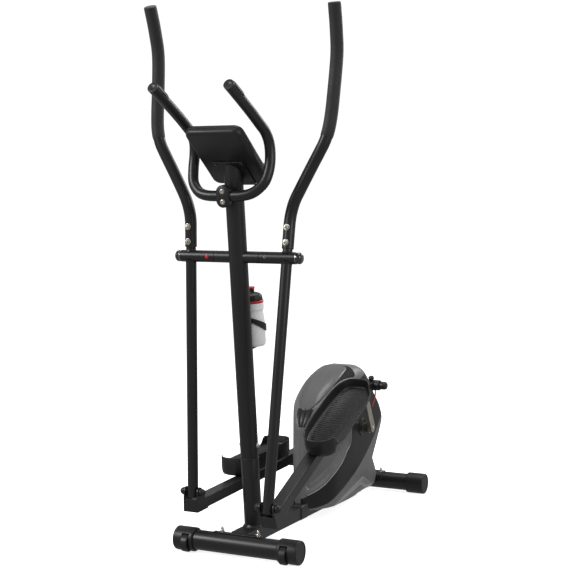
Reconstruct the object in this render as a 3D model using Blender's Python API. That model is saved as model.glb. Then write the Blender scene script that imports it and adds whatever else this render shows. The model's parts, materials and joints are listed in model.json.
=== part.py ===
"""An elliptical trainer: welded frame, swinging arms, pedal bars, crank drive in a split shroud.

Metres, +Z up. The user stands at +Y and faces -Y, so the user's left is +X. All lengths along Y are
measured from the front stabiliser's axis, and one empty moves the whole machine so that its origin is
the centre of its footprint on the floor.
"""

import math

import bmesh
import bpy
from mathutils import Matrix, Vector

# Driving dimensions.
FOOTPRINT_SHIFT_Y = -0.3938     # brings the middle of the machine's length to the origin
GAP = 0.0003                    # clearance between pieces that touch

STABILISER_Z = 0.0360
STABILISER_RADIUS = 0.030
STABILISER_HALF = 0.1475
REAR_STABILISER_Y = 1.0262
CAP_RADIUS = 0.0365
CAP_START = 0.140
CAP_END = 0.206
WHEEL_RADIUS = 0.0275
WHEEL_Y = -0.020
WHEEL_Z = 0.029
WHEEL_X = (0.152, 0.174)

RAIL_HALF_WIDTH = 0.0275
RAIL_Z = (0.031, 0.071)
RAIL_Y = (0.0345, 0.9915)
TUBE_WALL = 0.0022

MAST_FOOT = (0.0989, 0.0700)    # y, z where the mast's axis meets the rail
MAST_TILT = math.atan2(0.0989 - 0.0043, 0.8868 - 0.0700)
MAST_RADIUS = 0.0275
MAST_SEAM = 0.2155              # along the mast, where the post slips over the socket's spigot
MAST_BOLT = 0.2557

PIVOT_Y, PIVOT_Z = 0.0043, 0.8868
PIVOT_SHAFT_RADIUS = 0.010
SLEEVE_RADIUS = 0.0175
SLEEVE_X = (0.0738, 0.1897)
ARM_X = 0.1585
ARM_LENGTH = 0.7091
ARM_SWING = {"left": math.radians(-9.81), "right": math.radians(0.36)}

CRANK_Y, CRANK_Z = 0.748, 0.276
CRANK_THROW = 0.1785
CRANK_ANGLE = math.radians(26.82)
CRANK_X = (0.108, 0.1195)
BAR_RISE = math.radians(6.7)    # the bar's own axis above the line from clevis pin to crank pin
BAR_HALF_WIDTH = 0.020
BAR_W = (-0.059, -0.024)        # bottom and top face, below the clevis pin
BAR_END = 0.720
PEDAL_U = (0.287, 0.645)
PEDAL_X = (0.1225, 0.2500)
PEDAL_FLOOR = 0.005
PEDAL_RIM = 0.036

HANDLEBAR_RADIUS = 0.0155
HANDLEBAR_BASE = (-0.0715, 1.0645)
CONSOLE_TOP_EDGE = (-0.161, 1.239)
CONSOLE_TILT = math.radians(-37.1)
CONSOLE_HALF_WIDTH = 0.090
CONSOLE_LENGTH = 0.237
CONSOLE_SPLIT = 0.018
CONSOLE_THICKNESS = 0.030
CONSOLE_BRACKET_Z = (-0.0038, -0.0003)
BUTTON_RADIUS = 0.008

BOTTLE_OFFSET = 0.0715          # behind the mast's axis
BOTTLE_HEIGHT = 0.543           # along the mast
BOTTLE_RADIUS = 0.0345

SHROUD_HALF_WIDTH = 0.080
SHROUD_WALL = 0.003
SHROUD_FILLET = 0.012
# The top cover's half widths at distances along its own plane, from its lower tip to its upper end.
COVER_LEAF = [(0.5930, 0.0100), (0.5990, 0.0180), (0.6150, 0.0250), (0.6650, 0.0320),
              (0.7400, 0.0345), (0.8000, 0.0340), (0.8260, 0.0320), (0.8350, 0.0260)]
SHOULDER_SLOPE = 0.044          # the slope between the flat top and the sides
NOSE_HALF_WIDTH = 0.0175
NOSE_Y = 0.402
NOSE_FLANK = math.radians(26.3)
FLYWHEEL_Y, FLYWHEEL_Z = 0.570, 0.210
FLYWHEEL_RADIUS = 0.090
PULLEY_RADIUS = 0.090
SMALL_PULLEY_RADIUS = 0.018
BELT_X = (0.0135, 0.0245)

SIDES = {"left": 1, "right": -1}

FINISHES = {
    "black_paint": ((0.018, 0.018, 0.019), 0.38, 0.0),
    "black_plastic": ((0.020, 0.020, 0.021), 0.45, 0.0),
    "foam": ((0.014, 0.014, 0.015), 0.85, 0.0),
    "grey_plastic": ((0.115, 0.118, 0.120), 0.35, 0.0),
    "light_plastic": ((0.150, 0.153, 0.155), 0.25, 0.0),
    "nickel": ((0.62, 0.60, 0.55), 0.25, 1.0),
    "steel": ((0.35, 0.35, 0.36), 0.40, 1.0),
    "rubber": ((0.025, 0.025, 0.025), 0.75, 0.0),
    "white_plastic": ((0.72, 0.73, 0.74), 0.35, 0.0),
    "red_plastic": ((0.55, 0.010, 0.012), 0.35, 0.0),
    "lcd_glass": ((0.20, 0.25, 0.22), 0.10, 0.0),
}


def clear_scene():
    for obj in list(bpy.data.objects):
        bpy.data.objects.remove(obj)


def material(name, finish):
    colour, roughness, metallic = FINISHES[finish]
    made = bpy.data.materials.new(name + "_" + finish)
    made.use_nodes = True
    shader = made.node_tree.nodes["Principled BSDF"]
    shader.inputs["Base Color"].default_value = (*colour, 1.0)
    shader.inputs["Roughness"].default_value = roughness
    shader.inputs["Metallic"].default_value = metallic
    made.diffuse_color = (*colour, 1.0)
    return made


def add_object(name, bm, finish, at=(0.0, 0.0, 0.0), tilt=0.0):
    """Makes an object from a closed bmesh: its origin is at `at`, turned about X by `tilt`."""
    bmesh.ops.recalc_face_normals(bm, faces=bm.faces)
    mesh = bpy.data.meshes.new(name)
    bm.to_mesh(mesh)
    bm.free()
    mesh.shade_smooth()
    mesh.set_sharp_from_angle(angle=math.radians(32))
    mesh.materials.append(material(name, finish))
    obj = bpy.data.objects.new(name, mesh)
    bpy.context.scene.collection.objects.link(obj)
    obj.parent = machine
    obj.location = at
    obj.rotation_euler = (tilt, 0.0, 0.0)
    return obj


def helper(obj, name, bm, operation):
    """A hidden piece that is joined to, or cut from, obj in obj's own frame."""
    tool = add_object(obj.name + "_" + name, bm, "steel", obj.location, obj.rotation_euler.x)
    tool.hide_render = True
    tool.display_type = "WIRE"
    change = obj.modifiers.new(name, "BOOLEAN")
    change.operation = operation
    change.solver = "EXACT"
    change.object = tool
    return tool


def join(obj, name, bm):
    return helper(obj, name, bm, "UNION")


def cut(obj, name, bm):
    return helper(obj, name, bm, "DIFFERENCE")


# Rings and skins.

def circle(centre, radius, axis, steps=20):
    """Points round centre in the plane across axis, which is 'X', 'Y' or 'Z'."""
    found = []
    for i in range(steps):
        turn = 2 * math.pi * i / steps
        a, b = radius * math.cos(turn), radius * math.sin(turn)
        offset = {"X": (0, a, b), "Y": (b, 0, a), "Z": (a, b, 0)}[axis]
        found.append(Vector(centre) + Vector(offset))
    return found


def skin(rings, looped=False):
    """A closed body through equal rings: its ends are capped, or joined when it is looped."""
    bm = bmesh.new()
    loops = [[bm.verts.new(point) for point in ring] for ring in rings]
    pairs = list(zip(loops, loops[1:]))
    if looped:
        pairs.append((loops[-1], loops[0]))
    for low, high in pairs:
        for i, start in enumerate(low):
            j = (i + 1) % len(low)
            bm.faces.new((start, low[j], high[j], high[i]))
    if not looped:
        bm.faces.new(loops[0])
        bm.faces.new(loops[-1])
    return bm


def turned(profile, axis="X", centre=(0.0, 0.0, 0.0), looped=False, steps=16):
    """A body of revolution: profile is (distance along axis, radius), every radius above zero."""
    unit = Vector({"X": (1, 0, 0), "Y": (0, 1, 0), "Z": (0, 0, 1)}[axis])
    rings = [circle(Vector(centre) + unit * along, radius, axis, steps) for along, radius in profile]
    return skin(rings, looped)


def rod(start, end, radius, axis="X", centre=(0.0, 0.0, 0.0), steps=16):
    return turned([(start, radius), (end, radius)], axis, centre, steps=steps)


def pipe(start, end, outer, inner, axis="X", centre=(0.0, 0.0, 0.0), steps=20):
    profile = [(start, outer), (end, outer), (end, inner), (start, inner)]
    return turned(profile, axis, centre, looped=True, steps=steps)


def box(low, high):
    rings = []
    for z in (low[2], high[2]):
        ring = [(low[0], low[1], z), (high[0], low[1], z), (high[0], high[1], z), (low[0], high[1], z)]
        rings.append([Vector(point) for point in ring])
    return skin(rings)


def plate(outline, x_low, x_high):
    """An outline of (y, z) points, given thickness along X."""
    return skin([[Vector((x, y, z)) for y, z in outline] for x in (x_low, x_high)])


def arc(centre, radius, start, end, steps):
    """(y, z) points along an arc, in degrees from +Y towards +Z."""
    found = []
    for i in range(steps + 1):
        turn = math.radians(start + (end - start) * i / steps)
        found.append((centre[0] + radius * math.cos(turn), centre[1] + radius * math.sin(turn)))
    return found


def path_rings(path, radius, steps):
    """Rings square to a path, without twist."""
    rings = []
    across = None
    for i, point in enumerate(path):
        along = (path[min(i + 1, len(path) - 1)] - path[max(i - 1, 0)]).normalized()
        if across is None:
            across = along.orthogonal().normalized()
        across = (across - along * across.dot(along)).normalized()
        other = along.cross(across)
        turns = [2 * math.pi * k / steps for k in range(steps)]
        rings.append([point + radius * (across * math.cos(t) + other * math.sin(t)) for t in turns])
    return rings


def bent_tube(path, outer, inner, steps=12):
    """An open-ended tube along a path."""
    return skin(path_rings(path, outer, steps) + path_rings(path, inner, steps)[::-1], looped=True)


def mirrored(points, side):
    return [Vector((side * point[0], point[1], point[2])) for point in points]


def spans(side, pair):
    """A range of X for one side of the machine, lowest first."""
    return tuple(sorted((side * pair[0], side * pair[1])))


# Frame.

def build_rail():
    """The rectangular rail, with the bottom bracket's post and the flywheel's fork welded on."""
    low = (-RAIL_HALF_WIDTH, RAIL_Y[0], RAIL_Z[0])
    high = (RAIL_HALF_WIDTH, RAIL_Y[1], RAIL_Z[1])
    inner_low = [low[0] + TUBE_WALL, low[1] - 0.01, low[2] + TUBE_WALL]
    inner_high = [high[0] - TUBE_WALL, high[1] + 0.01, high[2] - TUBE_WALL]
    rail = add_object("main_rail", box(low, high), "black_paint")
    cut(rail, "hollow", box(inner_low, inner_high))
    weld = RAIL_Z[1] - 0.001
    join(rail, "crank_post", box((-0.045, CRANK_Y - 0.02, weld), (-0.005, CRANK_Y + 0.02, CRANK_Z - 0.004)))
    bracket = rod(-0.055, 0.005, 0.022, centre=(0, CRANK_Y, CRANK_Z), steps=24)
    join(rail, "bottom_bracket", bracket)
    join(rail, "fork_base", box((-0.0555, 0.550, weld), (0.0335, 0.615, weld + 0.006)))
    for name, x in (("fork_right", -0.056), ("fork_left", 0.030)):
        join(rail, name, box((x, 0.551, weld + 0.003), (x + 0.004, 0.614, 0.315)))
    cut(rail, "crank_bore", rod(-0.07, 0.02, 0.0103, centre=(0, CRANK_Y, CRANK_Z), steps=20))
    cut(rail, "fork_bore", rod(-0.07, 0.05, 0.0063, centre=(0, FLYWHEEL_Y, FLYWHEEL_Z), steps=16))
    cut(rail, "magnet_bore", rod(-0.07, 0.05, 0.0043, centre=(0, *magnet_pivot()), steps=16))


def mast_point(across, along):
    """(x, y, z) of a point behind the mast's axis by `across` and up the mast by `along`."""
    y = MAST_FOOT[0] + across * math.cos(MAST_TILT) - along * math.sin(MAST_TILT)
    z = MAST_FOOT[1] + across * math.sin(MAST_TILT) + along * math.cos(MAST_TILT)
    return (0.0, y, z)


def mast_frame(y, z):
    """Turns a machine (y, z) point into the mast's own frame."""
    back, up = y - MAST_FOOT[0], z - MAST_FOOT[1]
    cos, sin = math.cos(MAST_TILT), math.sin(MAST_TILT)
    return back * cos + up * sin, up * cos - back * sin


def sloped_ring(radius, along, slope, steps=20):
    return [Vector((p.x, p.y, along + slope * p.y)) for p in circle((0, 0, 0), radius, "Z", steps)]


def build_mast():
    """The socket welded to the rail, and the post that slips over its spigot."""
    foot = mast_point(0, 0)
    slope = -math.tan(MAST_TILT)
    base = (RAIL_Z[1] - MAST_FOOT[1] + GAP) / math.cos(MAST_TILT)
    rings = [sloped_ring(0.0270, base, slope), sloped_ring(0.0270, MAST_SEAM, 0)]
    rings += [sloped_ring(0.0243, MAST_SEAM, 0), sloped_ring(0.0243, 0.330, 0)]
    rings += [sloped_ring(0.0220, 0.330, 0), sloped_ring(0.0220, base, slope)]
    socket = add_object("mast_socket", skin(rings, looped=True), "black_paint", foot, MAST_TILT)
    cut(socket, "bolt_hole", rod(-0.04, 0.04, 0.0044, centre=(0, 0, MAST_BOLT), steps=12))

    top, slope = mast_top()
    rings = [sloped_ring(MAST_RADIUS, MAST_SEAM + GAP, 0), sloped_ring(MAST_RADIUS, top, slope)]
    post = add_object("mast_post", skin(rings), "black_paint", foot, MAST_TILT)
    bar_y, bar_z = mast_frame(*HANDLEBAR_BASE)
    join(post, "handlebar_boss", rod(bar_y + GAP, -0.002, 0.0235, "Y", (0, 0, bar_z), steps=20))
    cut(post, "hollow", rod(0.0, 1.3, 0.0251, "Z", steps=24))
    groove = rod(-0.05, 0.05, HANDLEBAR_RADIUS + GAP, centre=(0, bar_y, bar_z), steps=22)
    cut(post, "handlebar_groove", groove)
    cut(post, "bolt_hole", rod(-0.04, 0.04, 0.0044, centre=(0, 0, MAST_BOLT), steps=12))
    crossbar_height = math.hypot(MAST_FOOT[0] - PIVOT_Y, PIVOT_Z - MAST_FOOT[1])
    hole = rod(-0.04, 0.04, SLEEVE_RADIUS + 2 * GAP, centre=(0, 0, crossbar_height), steps=20)
    cut(post, "crossbar_hole", hole)

    bolt = [(-0.0340, 0.0035), (-0.0310, 0.0062), (-0.0279, 0.0062), (-0.0279, 0.0040)]
    bolt += [(0.0279, 0.0040), (0.0279, 0.0068), (0.0330, 0.0068), (0.0345, 0.0050)]
    add_object("mast_bolt", turned(bolt, steps=12), "nickel", mast_point(0, MAST_BOLT), MAST_TILT)


def mast_top():
    """Height and slope of the mast's cut end, which meets the console bracket's underside."""
    normal_y = -math.sin(CONSOLE_TILT - MAST_TILT)
    normal_z = math.cos(CONSOLE_TILT - MAST_TILT)
    under = CONSOLE_BRACKET_Z[0] - GAP
    y = CONSOLE_TOP_EDGE[0] - under * math.sin(CONSOLE_TILT)
    z = CONSOLE_TOP_EDGE[1] + under * math.cos(CONSOLE_TILT)
    local_y, local_z = mast_frame(y, z)
    return local_z + local_y * normal_y / normal_z, -normal_y / normal_z


def build_crossbar():
    shaft = [(-0.1899, PIVOT_SHAFT_RADIUS), (-0.0735, PIVOT_SHAFT_RADIUS), (-0.0735, SLEEVE_RADIUS)]
    shaft += [(-x, radius) for x, radius in shaft[::-1]]
    add_object("crossbar_shaft", turned(shaft), "black_paint", (0, PIVOT_Y, PIVOT_Z))


def build_stabiliser(name, y):
    tube = pipe(-STABILISER_HALF, STABILISER_HALF, STABILISER_RADIUS, STABILISER_RADIUS - TUBE_WALL)
    add_object(name, tube, "black_paint", (0, y, STABILISER_Z))


def build_cap(name, side, y):
    """A moulded end cap with a narrow flat under it."""
    profile = [(STABILISER_HALF + GAP, STABILISER_RADIUS + GAP), (CAP_START, STABILISER_RADIUS + GAP)]
    profile += [(CAP_START, 0.0350), (CAP_START + 0.003, CAP_RADIUS)]
    profile += [(CAP_END - 0.003, CAP_RADIUS), (CAP_END, CAP_RADIUS - 0.0025)]
    bm = turned([(side * x, radius) for x, radius in profile], steps=20)
    everything = bm.verts[:] + bm.edges[:] + bm.faces[:]
    ground = (0, 0, -STABILISER_Z)
    made = bmesh.ops.bisect_plane(bm, geom=everything, plane_co=ground, plane_no=(0, 0, -1), clear_outer=True)
    edges = [item for item in made["geom_cut"] if isinstance(item, bmesh.types.BMEdge)]
    bmesh.ops.edgeloop_fill(bm, edges=edges)
    return add_object(name, bm, "black_plastic", (0, y, STABILISER_Z))


def build_transport_wheel(side_name, side):
    """A wheel in the front cap's slot, on its own pin."""
    cap = build_cap("front_cap_" + side_name, side, 0.0)
    centre = (0, WHEEL_Y, WHEEL_Z - STABILISER_Z)
    slot = spans(side, (WHEEL_X[0] - 0.001, WHEEL_X[1] + 0.001))
    reach = WHEEL_RADIUS + 0.0015
    high = (slot[1], centre[1] + reach, centre[2] + reach)
    cut(cap, "wheel_slot", box((slot[0], -0.08, -0.06), high))
    pin = spans(side, (WHEEL_X[0] - 0.0045, WHEEL_X[1] + 0.0045))
    cut(cap, "pin_hole", rod(pin[0] - GAP, pin[1] + GAP, 0.0043, centre=centre, steps=12))
    axle = rod(pin[0], pin[1], 0.0040, steps=12)
    add_object("wheel_axle_" + side_name, axle, "steel", (0, WHEEL_Y, WHEEL_Z))
    low, high = spans(side, WHEEL_X)
    profile = [(low, 0.0125), (low, WHEEL_RADIUS - 0.003), (low + 0.003, WHEEL_RADIUS)]
    profile += [(high - 0.003, WHEEL_RADIUS), (high, WHEEL_RADIUS - 0.003), (high, 0.0125)]
    profile += [(high, 0.0043), (low, 0.0043)]
    wheel = turned(profile, looped=True, steps=16)
    add_object("transport_wheel_" + side_name, wheel, "black_plastic", (0, WHEEL_Y, WHEEL_Z))


def build_saddle(name, y, half_width, start, end):
    """The curved plate that bolts a stabiliser to the rail."""
    outline = arc((0, 0), STABILISER_RADIUS + GAP, start, end, 8)
    outline += arc((0, 0), STABILISER_RADIUS + 0.0036, end, start, 8)
    add_object(name, plate(outline, -half_width, half_width), "black_paint", (0, y, STABILISER_Z))


# Handlebar, console and bottle.

def handlebar_path():
    """One side of the fixed handlebar, from the middle of the clamp to the end."""
    y, z = HANDLEBAR_BASE
    return [(0.0, y, z), (0.0480, y, z), (0.0800, -0.0680, 1.0705), (0.1020, -0.0600, 1.0855),
            (0.1175, -0.0500, 1.1080), (0.1240, -0.0380, 1.1450), (0.1235, -0.0320, 1.1850),
            (0.1215, -0.0370, 1.2180), (0.1200, -0.0570, 1.2450), (0.1190, -0.0900, 1.2660),
            (0.1190, -0.1350, 1.2920), (0.1190, -0.1992, 1.3263), (0.1190, -0.2682, 1.3616)]


def build_handlebar():
    half = mirrored(handlebar_path(), 1)
    whole = mirrored(half[:0:-1], -1) + half
    bar = bent_tube(whole, HANDLEBAR_RADIUS, HANDLEBAR_RADIUS - 0.002)
    add_object("fixed_handlebar", bar, "black_paint")

    bar_y, bar_z = mast_frame(*HANDLEBAR_BASE)
    turns = [2 * math.pi * (i + 0.5) / 20 for i in range(20)]
    rings = []
    for y, scale in ((bar_y - GAP, 1.0), (bar_y - 0.0165, 1.0), (bar_y - 0.0195, 0.86)):
        ring = []
        for turn in turns:
            rise = math.copysign(0.0115, math.sin(turn)) + 0.0215 * math.sin(turn) * scale
            ring.append(Vector((0.0215 * math.cos(turn) * scale, y, bar_z + rise)))
        rings.append(ring)
    clamp = add_object("handlebar_clamp", skin(rings), "black_plastic", mast_point(0, 0), MAST_TILT)
    cut(clamp, "groove", rod(-0.05, 0.05, HANDLEBAR_RADIUS + GAP, centre=(0, bar_y, bar_z), steps=20))


def build_pulse_sensor(side_name, side):
    """A contact pad over the top of the handlebar near its end."""
    lower, upper = (Vector(point) for point in handlebar_path()[-2:])
    along = (upper - lower).normalized()
    across = Vector((1, 0, 0))
    outward = across.cross(along) * -1
    start = lower + along * 0.012
    rings = []
    for distance, radius in ((0.0, 0.0172), (0.004, 0.0186), (0.054, 0.0186), (0.058, 0.0172)):
        turns = [math.radians(-80 + 160 * i / 10) for i in range(11)]
        ring = [(t, radius) for t in turns] + [(t, HANDLEBAR_RADIUS + GAP) for t in turns[::-1]]
        rings.append([start + along * distance + r * (outward * math.cos(t) + across * math.sin(t))
                      for t, r in ring])
    rings = [mirrored(ring, side) for ring in rings]
    add_object("pulse_sensor_" + side_name, skin(rings), "nickel")


def rounded_outline(half_width, y_low, y_high, radius, inset=0.0):
    """(x, y) points of a rounded rectangle, drawn in by inset."""
    found = []
    corners = ((1, y_high, 0), (-1, y_high, 90), (-1, y_low, 180), (1, y_low, 270))
    for sign, y, start in corners:
        up = 1 if y == y_high else -1
        centre_x, centre_y = sign * (half_width - radius), y - up * radius
        for i in range(5):
            turn = math.radians(start + 90 * i / 4)
            reach = radius - inset
            found.append((centre_x + reach * math.cos(turn), centre_y + reach * math.sin(turn)))
    return found


def level_rings(stations, half_width, y_low, y_high, radius):
    """Rounded rectangles at (height, inset) stations."""
    return [[Vector((x, y, z)) for x, y in rounded_outline(half_width, y_low, y_high, radius, inset)]
            for z, inset in stations]


def build_console():
    at = (0, *CONSOLE_TOP_EDGE)
    size = (CONSOLE_HALF_WIDTH, 0.0, CONSOLE_LENGTH, 0.020)
    shell = [(0.0025, 0.0065), (0.0085, 0.0025), (CONSOLE_SPLIT, 0.0025), (CONSOLE_SPLIT, 0.0)]
    shell += [(0.007, 0.0), (0.002, 0.002), (0.0, 0.006)]
    rings = level_rings(shell, *size)
    add_object("console_shell", skin(rings), "black_plastic", at, CONSOLE_TILT)

    face = [(CONSOLE_SPLIT + GAP, 0.0), (0.0255, 0.0), (0.0285, 0.0015), (CONSOLE_THICKNESS, 0.0045)]
    top = add_object("console_face", skin(level_rings(face, *size)), "black_plastic", at, CONSOLE_TILT)
    window = (0.060, 0.030, 0.095, 0.006)
    cut(top, "window", skin(level_rings([(0.0270, 0), (0.0350, 0)], *window)))
    lens = level_rings([(0.0273, GAP), (CONSOLE_THICKNESS, GAP)], *window)
    add_object("console_lens", skin(lens), "lcd_glass", at, CONSOLE_TILT)
    for name, x in (("mode_button", -0.040), ("set_button", 0.0), ("reset_button", 0.040)):
        hole = rod(0.010, 0.040, BUTTON_RADIUS + 0.0006, "Z", (x, 0.125, 0), steps=12)
        cut(top, name + "_hole", hole)
        profile = [(0.0200, BUTTON_RADIUS), (0.0318, BUTTON_RADIUS), (0.0328, BUTTON_RADIUS - 0.0015)]
        button = turned(profile, "Z", (x, 0.125, 0), steps=12)
        add_object(name, button, "grey_plastic", at, CONSOLE_TILT)

    ledge = [(0.180, CONSOLE_THICKNESS + GAP), (0.206, CONSOLE_THICKNESS + GAP), (0.206, 0.052)]
    ledge += [(0.2035, 0.054), (0.201, 0.052), (0.200, 0.0345), (0.180, 0.0335)]
    add_object("tablet_ledge", plate(ledge, -0.080, 0.080), "grey_plastic", at, CONSOLE_TILT)

    bracket = box((-0.050, 0.128, CONSOLE_BRACKET_Z[0]), (0.050, 0.232, CONSOLE_BRACKET_Z[1]))
    add_object("console_bracket", bracket, "black_paint", at, CONSOLE_TILT)


def build_bottle():
    """The drinking bottle, and the cage on the back of the mast that holds it."""
    at = mast_point(BOTTLE_OFFSET, BOTTLE_HEIGHT)
    body = [(0.0, 0.0285), (0.003, 0.0325), (0.010, BOTTLE_RADIUS), (0.070, BOTTLE_RADIUS)]
    body += [(0.084, 0.0332), (0.104, 0.0308), (0.111, 0.0308), (0.115, 0.0336), (0.131, 0.0336)]
    body += [(0.1318, 0.0300)]
    add_object("bottle_body", turned(body, "Z"), "white_plastic", at, MAST_TILT)
    cap = [(0.1321, 0.0300), (0.149, 0.0300), (0.157, 0.0250), (0.1630, 0.0130), (0.1630, 0.0058)]
    cap += [(0.1715, 0.0055)]
    add_object("bottle_cap", turned(cap, "Z"), "black_plastic", at, MAST_TILT)
    nozzle = [(0.1735, 0.0061), (0.1640, 0.0062), (0.1640, 0.0078), (0.1722, 0.0078)]
    nozzle += [(0.1728, 0.0095), (0.1775, 0.0095), (0.1792, 0.0075)]
    add_object("bottle_nozzle", turned(nozzle, "Z", steps=12), "red_plastic", at, MAST_TILT)

    inner = BOTTLE_RADIUS + 0.0006
    strap = pipe(0.062, 0.078, inner + 0.0025, inner, "Z")
    cage = add_object("bottle_cage", strap, "black_plastic", at, MAST_TILT)
    back = MAST_RADIUS + GAP - BOTTLE_OFFSET
    join(cage, "spine", box((-0.012, back, -0.0038), (0.012, -inner + 0.0012, 0.100)))
    join(cage, "shelf", box((-0.012, back + 0.001, -0.0038), (0.012, -0.004, -0.0003)))
    cut(cage, "bottle_room", rod(-0.0003, 0.12, inner, "Z"))
    cut(cage, "mast_room", rod(-0.05, 0.15, MAST_RADIUS + GAP, "Z", (0, -BOTTLE_OFFSET, 0), steps=28))


# Swinging arms.

def arm_place(side_name):
    return (0, PIVOT_Y, PIVOT_Z), ARM_SWING[side_name]


def upper_arm_path():
    """The upper arm's axis in the arm's own frame: x, y and height above the pivot."""
    return [(0.1585, 0.0, 0.027), (0.1585, 0.0, 0.1000), (0.1622, -0.001, 0.1260),
            (0.1700, -0.003, 0.1600), (0.1850, -0.004, 0.1950), (0.2140, -0.007, 0.2530),
            (0.2420, -0.010, 0.3050), (0.2560, -0.0105, 0.3350), (0.2640, -0.009, 0.3720),
            (0.2672, -0.005, 0.4200), (0.2672, 0.000, 0.4900), (0.2670, 0.003, 0.5650),
            (0.2670, 0.000, 0.6080), (0.2670, -0.010, 0.6450), (0.2670, -0.0230, 0.6850),
            (0.2670, -0.041, 0.7310)]


def build_arm(side_name, side):
    at, swing = arm_place(side_name)
    x_range = spans(side, SLEEVE_X)
    x = side * ARM_X
    sleeve = rod(*x_range, SLEEVE_RADIUS, steps=20)
    arm = add_object("lower_arm_" + side_name, sleeve, "black_paint", at, swing)
    foot = -(ARM_LENGTH + 0.016)
    join(arm, "tube", rod(foot, -0.006, 0.016, "Z", (x, 0, 0), steps=20))
    join(arm, "stub", rod(0.006, 0.094, 0.0145, "Z", (x, 0, 0), steps=20))
    cut(arm, "tube_hollow", rod(foot - 0.01, -0.0185, 0.0140, "Z", (x, 0, 0), steps=20))
    cut(arm, "stub_hollow", rod(0.0185, 0.120, 0.0122, "Z", (x, 0, 0), steps=20))
    cut(arm, "shaft_bore", rod(x_range[0] - 0.01, x_range[1] + 0.01, PIVOT_SHAFT_RADIUS + GAP, steps=20))
    pin_hole = rod(x - 0.03, x + 0.03, 0.0053, centre=(0, 0, -ARM_LENGTH), steps=16)
    cut(arm, "pin_hole", pin_hole)

    path = mirrored(upper_arm_path(), side)
    tube = bent_tube(path, 0.0178, 0.0155)
    add_object("upper_arm_" + side_name, tube, "black_paint", at, swing)

    end = path[-1]
    along = (end - path[-2]).normalized()
    inner = path_rings(path, 0.0181, 12)[7:]
    outer = path_rings(path, 0.0202, 12)[7:]
    rings = [[point + along * 0.0004 for point in inner[-1]]] + inner[-2::-1] + outer
    rings += [[end + along * 0.0025 + (point - end) * 0.86 for point in outer[-1]]]
    add_object("arm_grip_" + side_name, skin(rings), "foam", at, swing)

    cap = [(0.1902, 0.0160), (0.1912, 0.0178), (0.1990, 0.0178), (0.2050, 0.0155), (0.2085, 0.0095)]
    cap = turned([(side * along, radius) for along, radius in cap])
    add_object("pivot_cap_" + side_name, cap, "black_plastic", at)


# Pedal bars, pedals and crank.

def clevis_place(side_name):
    swing = ARM_SWING[side_name]
    return (0, PIVOT_Y + ARM_LENGTH * math.sin(swing), PIVOT_Z - ARM_LENGTH * math.cos(swing))


def crank_pin_place(side):
    y = CRANK_Y - side * CRANK_THROW * math.sin(CRANK_ANGLE)
    return (0, y, CRANK_Z + side * CRANK_THROW * math.cos(CRANK_ANGLE))


def bar_place(side_name, side):
    """(clevis pin, the bar's inclination, the crank pin in the bar's own frame)."""
    front, rear = clevis_place(side_name), crank_pin_place(side)
    run, rise = rear[1] - front[1], rear[2] - front[2]
    reach = math.hypot(run, rise)
    pin = (reach * math.cos(BAR_RISE), -reach * math.sin(BAR_RISE))
    return front, math.atan2(rise, run) + BAR_RISE, pin


def build_pedal_bar(side_name, side):
    at, tilt, (pin_u, pin_w) = bar_place(side_name, side)
    x = side * ARM_X
    half = BAR_HALF_WIDTH
    bottom, top = BAR_W
    bar = add_object("pedal_bar_" + side_name, box((x - half, -0.0140, bottom), (x + half, BAR_END, top)),
                     "black_paint", at, tilt)
    inner_low = (x - half + TUBE_WALL, -0.0110, bottom + TUBE_WALL)
    inner_high = (x + half - TUBE_WALL, BAR_END + 0.01, top - TUBE_WALL)
    cut(bar, "hollow", box(inner_low, inner_high))
    cheek = [(-0.0165, bottom), (0.048, bottom), (0.030, top)] + arc((0, 0), 0.015, 10, 190, 8)
    cheek += [(-0.0165, top)]
    join(bar, "cheek_out", plate(cheek, x + half - 0.0005, x + half + 0.005))
    join(bar, "cheek_in", plate(cheek, x - half - 0.005, x - half + 0.0005))
    join(bar, "end_plate", box((x - half, -0.0165, bottom), (x + half, -0.0120, top + 0.004)))
    hanger = [(0.650, bottom + 0.001), (BAR_END, bottom + 0.001), (pin_u, pin_w + 0.0165)]
    hanger += [(pin_u + 0.0165, pin_w), (pin_u, pin_w - 0.0165), (0.740, pin_w + 0.004)]
    hanger += [(0.650, bottom - 0.008)]
    join(bar, "hanger", plate(hanger, *spans(side, (0.1405, 0.1580))))
    housing = spans(side, (CRANK_X[1] + 0.0015, 0.1760))
    join(bar, "housing", rod(*housing, SLEEVE_RADIUS, centre=(0, pin_u, pin_w), steps=20))
    cut(bar, "housing_bore", rod(housing[0] - 0.005, housing[1] + 0.005, 0.0083, centre=(0, pin_u, pin_w)))
    cut(bar, "clevis_bore", rod(x - 0.04, x + 0.04, 0.0053, steps=16))

    dome = [(0.0253, 0.0120), (0.0330, 0.0118), (0.0390, 0.0085), (0.0418, 0.0040)]
    half_pin = [(0.0163, 0.0090), (0.0192, 0.0090), (0.0192, 0.0050), (0.0253, 0.0050)] + dome
    profile = [(-along, radius) for along, radius in half_pin[::-1]]
    profile += [(-0.0163, 0.0050), (0.0163, 0.0050)] + half_pin
    pin = turned(profile, centre=(x, 0, 0), steps=12)
    add_object("clevis_pin_" + side_name, pin, "black_plastic", at, tilt)

    profile = [(CRANK_X[1] + 0.0016, 0.0080), (0.1763, 0.0080), (0.1763, 0.0135), (0.1965, 0.0135)]
    profile += [(0.2005, 0.0105)]
    pin = turned([(side * along, radius) for along, radius in profile], centre=(0, pin_u, pin_w), steps=16)
    add_object("crank_pin_" + side_name, pin, "black_plastic", at, tilt)


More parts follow.
